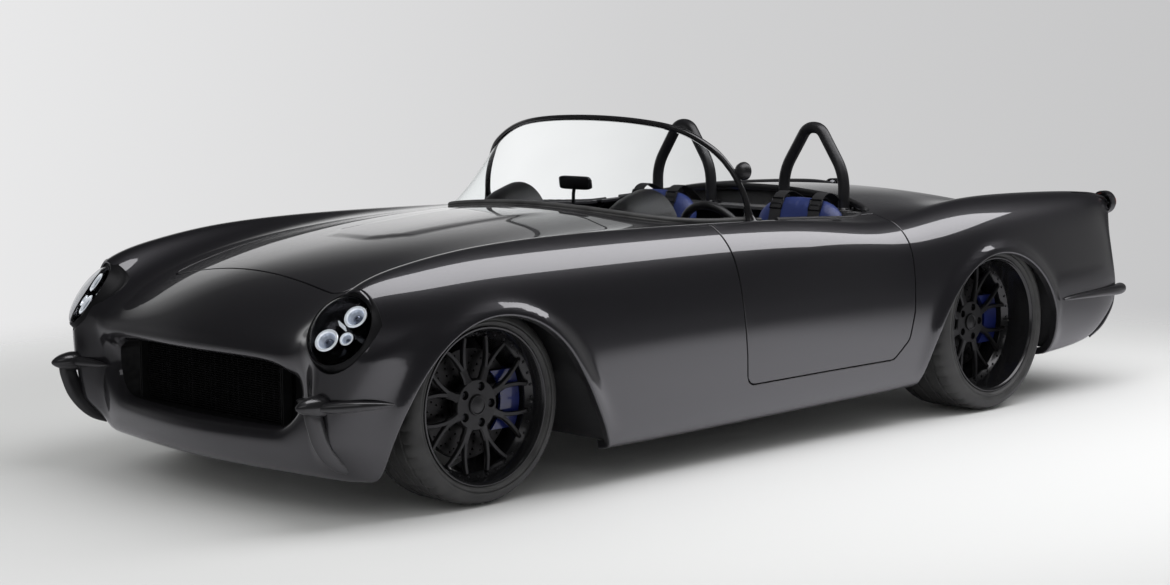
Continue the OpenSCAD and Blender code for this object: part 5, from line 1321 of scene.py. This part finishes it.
def controls():
    folds = []
    for k, t in enumerate(np.linspace(0, 1, 25)):
        folds.append((60 - 46 * t ** 0.8 + (2.5 if k % 4 < 2 else -2.5) * (1 - t), 4 + 66 * t))
    gaiter = lathe(folds[::-1] + [(62, 3), (66, 0)], 48)
    plate = lathe([(58, 6), (66, 5), (68, 0)], 48)
    stick = lathe([(6, 172), (7, 60)], 20)
    knob = lathe([(0.2, 214), (9, 212), (17, 206), (23, 195), (23.5, 187), (20, 177), (12, 170), (8, 166)], 32)
    put = lambda part: moved(part, None, (1440, 0, 430))
    piece("gear_gaiter", put(gaiter), BLACK_HIDE, "root", "gaiter_leather", ["gear_lever"])
    piece("gear_stick", put(join(plate, stick, knob)), STEEL_DARK, "root", "black_steel")
    pedals = []
    for y, wide in ((-455, 42), (-375, 42), (-300, 34)):
        pedals.append(bar([(894, y, 560), (905, y, 470), (935, y, 380)], 10, 14, (1, 0, 0.3)))
        pad_part = join(block((-6, -wide, -36), (2, wide, 36), 3),
                        *[block((1, -wide + 5, z), (5, wide - 5, z + 5), 1) for z in range(-30, 28, 12)])
        pedals.append(moved(pad_part, turn("Y", -28), (942, y, 366)))
    piece("pedals", join(*pedals), STEEL_DARK, "root", "black_steel")
    line = rounded([[560, 230, 400], [560, 425, 400], [790, 425, 150], [2090, 425, 150]], [0, 90, 90, 0], 8)
    line = np.concatenate([line[:-1], [[x, 425, 150] for x in (1180, 1255, 1262, 1275, 1290, 1420, 1540, 1660, 1765,
            1780, 1793, 1800, 1940, 2086)]])
    swell = np.interp(line[:, 0], [1255, 1290, 1765, 1800], [28, 44, 44, 28])
    mouth_ring = moved(lathe([(26, 2), (28, 5), (31, 2), (31, -14), (28, -16)], 28), turn("Y", 90), (2086, 425, 150))
    pairs([("exhaust_pipe", join(tube(line, swell, 24), mouth_ring), STEEL, "pipe_steel", "exhaust")])


def cowls():
    """Padded hoods over the two ends of the dashboard, lined in blue."""
    angles = np.radians(np.linspace(8, 172, 40))
    outside = [(1022, 84), (1030, 100), (1050, 118), (1090, 137), (1140, 153), (1168, 161), (1176, 161), (1180, 157),
               (1178, 153)]
    lining = [(1178, 153.5), (1160, 149), (1100, 133), (1050, 110), (1040, 96)]
    for y, word in ((-345, "left"), (345, "right")):
        for name, rows, look in (("cowl", outside, BLACK_HIDE), ("lining", lining, BLUE_HIDE)):
            points = [np.stack([np.full(40, x), y - r * np.cos(angles), 764 + r * np.sin(angles)], 1) for x,
                      r in rows]
            part = (np.concatenate(points), flipped(quads(len(rows), 40)))
            piece("dash_%s_%s" % (name, word), part, look, "root", "dash_trim")


# Studio: pale floor that fades into a pale world, soft boxes overhead
def room():
    """Pale to the camera; in reflections a dark room with a bright wall and a lit end."""
    world = bpy.data.worlds.new("studio")
    scene.world = world
    world.use_nodes = True
    graph = Graph(world.node_tree)
    where = graph.add("TexCoord").outputs["Generated"]
    height = graph.add("SeparateXYZ", {"Vector": where}).outputs["Z"]
    pale = graph.ramp(graph.span(graph.toward(where, (0.721, -0.693, 0)), -0.3, 0.3),
                      (0, (0.83, 0.83, 0.835)), (1, (0.56, 0.56, 0.565)), (0.55, (0.64, 0.64, 0.645)))
    levels = [(place, (level, level, level + 0.004)) for place, level in ((0.825, 0.13), (0.88, 0.62), (0.975, 0.60))]
    wall = graph.ramp(graph.toward(where, (0.35, 0.937, 0)),
                      (0.45, (0.014, 0.014, 0.015)), (0.93, (0.97, 0.97, 0.975)), *levels)
    high = graph.span(height, 0.14, 0.52, 1.0, 0.2, interpolation_type="SMOOTHSTEP")
    lit = graph.add("VectorMath", {0: wall, "Scale": high}, operation="SCALE").outputs["Vector"]
    end = graph.span(graph.toward(where, (0.96, -0.28, 0)), 0.90, 0.99, 0.0, 0.19)
    lit = graph.add("VectorMath", {0: lit, 1: end}, operation="ADD").outputs["Vector"]
    graph.put(graph.nodes["Background"].inputs["Color"], graph.by_ray(pale, lit, data_type="RGBA"))


def ground():
    """Pale floor that fades into the world; in reflections it darkens away from the car, a painted falloff of the
    lamps' light.
    """
    look = bpy.data.materials.new("studio_floor")
    look.use_nodes = True
    graph = Graph(look.node_tree)
    shader = graph.nodes["Principled BSDF"]
    where = graph.add("TexCoord").outputs["Object"]
    parts = graph.add("SeparateXYZ", {"Vector": where}).outputs
    # Painted shade: in reflections the floor's colour falls off away from the car, as the lamps' light would
    painted_falloffs = [graph.span(parts[axis], start, end, low, interpolation_type="SMOOTHSTEP") for axis, start, end, low in (
        ("Y", -3.9, -2.3, 0.10), ("Y", 2.2, 0.0, 0.66), ("X", 3.2, 1.2, 0.35), ("X", -3.4, -1.6, 0.35))]
    share = painted_falloffs[0]
    for other in painted_falloffs[1:]:
        share = graph.add("Math", {0: share, 1: other}, operation="MULTIPLY").outputs["Value"]
    grey = graph.add("VectorMath", {0: (0.725, 0.72, 0.745), "Scale": share}, operation="SCALE").outputs["Vector"]
    radius = graph.add("VectorMath", {0: where}, operation="LENGTH").outputs["Value"]
    fades = [graph.span(radius, *ends, interpolation_type="SMOOTHSTEP") for ends in ((2.3, 4.8), (4.0, 13.0))]
    graph.put(shader.inputs["Roughness"], 0.6)
    graph.put(shader.inputs["Base Color"], graph.by_ray((0.715, 0.722, 0.703, 1), grey, data_type="RGBA"))
    gone = graph.add("BsdfTransparent").outputs["BSDF"]
    mixed = graph.add("MixShader", {"Fac": graph.by_ray(*fades), 1: shader.outputs["BSDF"], 2: gone})
    graph.put(graph.nodes["Material Output"].inputs["Surface"], mixed.outputs["Shader"])
    mesh = bpy.data.meshes.new("studio_floor")
    rim_points = [(FLOOR_R * math.cos(a), FLOOR_R * math.sin(a), -0.001) for a in circle(64)]
    mesh.from_pydata(rim_points, [], [tuple(range(len(rim_points)))])
    mesh.materials.append(look)
    floor = bpy.data.objects.new("studio_floor", mesh)
    scene.collection.objects.link(floor)


def stand(data, place, axes):
    """Object for a lamp or a camera, at a place and turned to three axes."""
    holder = bpy.data.objects.new(data.name, data)
    scene.collection.objects.link(holder)
    holder.matrix_world = Matrix.Translation(place) @ Matrix(axes.tolist()).to_4x4()
    return holder


def lamps():
    for name, place, size, aim, along, power in (
            ("overhead_box", (1.45, -1.80, 3.6), (7.6, 2.1), (1.3, -1.75, 0), (0.26, 0.966, 0), 198),
            ("front_box", (-4.2, -3.4, 3.6), (2.6, 1.6), (0, 0, 0.4), (0, 0, 1), 10)):
        lamp = bpy.data.lights.new(name, "AREA")
        lamp.shape, lamp.size, lamp.size_y, lamp.energy = "RECTANGLE", *size, power
        lamp.color = (0.975, 0.965, 1.0)
        z = unit(np.array(place) - aim)
        x = unit(np.cross(along, z))
        stand(lamp, place, np.stack([x, np.cross(z, x), z], 1))


def studio():
    room()
    ground()
    lamps()
    scene.view_settings.view_transform = "Standard"


def camera():
    """The photograph's viewpoint: place, heading, tilt and roll."""
    sensor, focal_px, photo_px = 36, 2143.5, 1170
    yaw, pitch, roll = math.radians(43.854), math.radians(6.36), math.radians(-0.452)
    ahead = np.array([math.sin(yaw) * math.cos(pitch), math.cos(yaw) * math.cos(pitch), -math.sin(pitch)])
    right = unit(np.cross(ahead, [0, 0, 1]))
    up = np.cross(right, ahead)
    right, up = math.cos(roll) * right + math.sin(roll) * up, math.cos(roll) * up - math.sin(roll) * right
    data = bpy.data.cameras.new("camera")
    data.sensor_width, data.lens, data.clip_end = sensor, focal_px / photo_px * sensor, 200
    data.sensor_fit = "HORIZONTAL"
    scene.camera = stand(data, (-5.88905, -5.7909, 1.4148), np.stack([right, up, -ahead], 1))


build_body()
wheels()
housings()
headlamps()
mouth()
bumpers()
tail_lamps()
dressed()
door_insides()
cockpit_rolls()
screen()
hoops()
seats()
steering()
cowls()
dials()
mirrors()
controls()
studio()
camera()
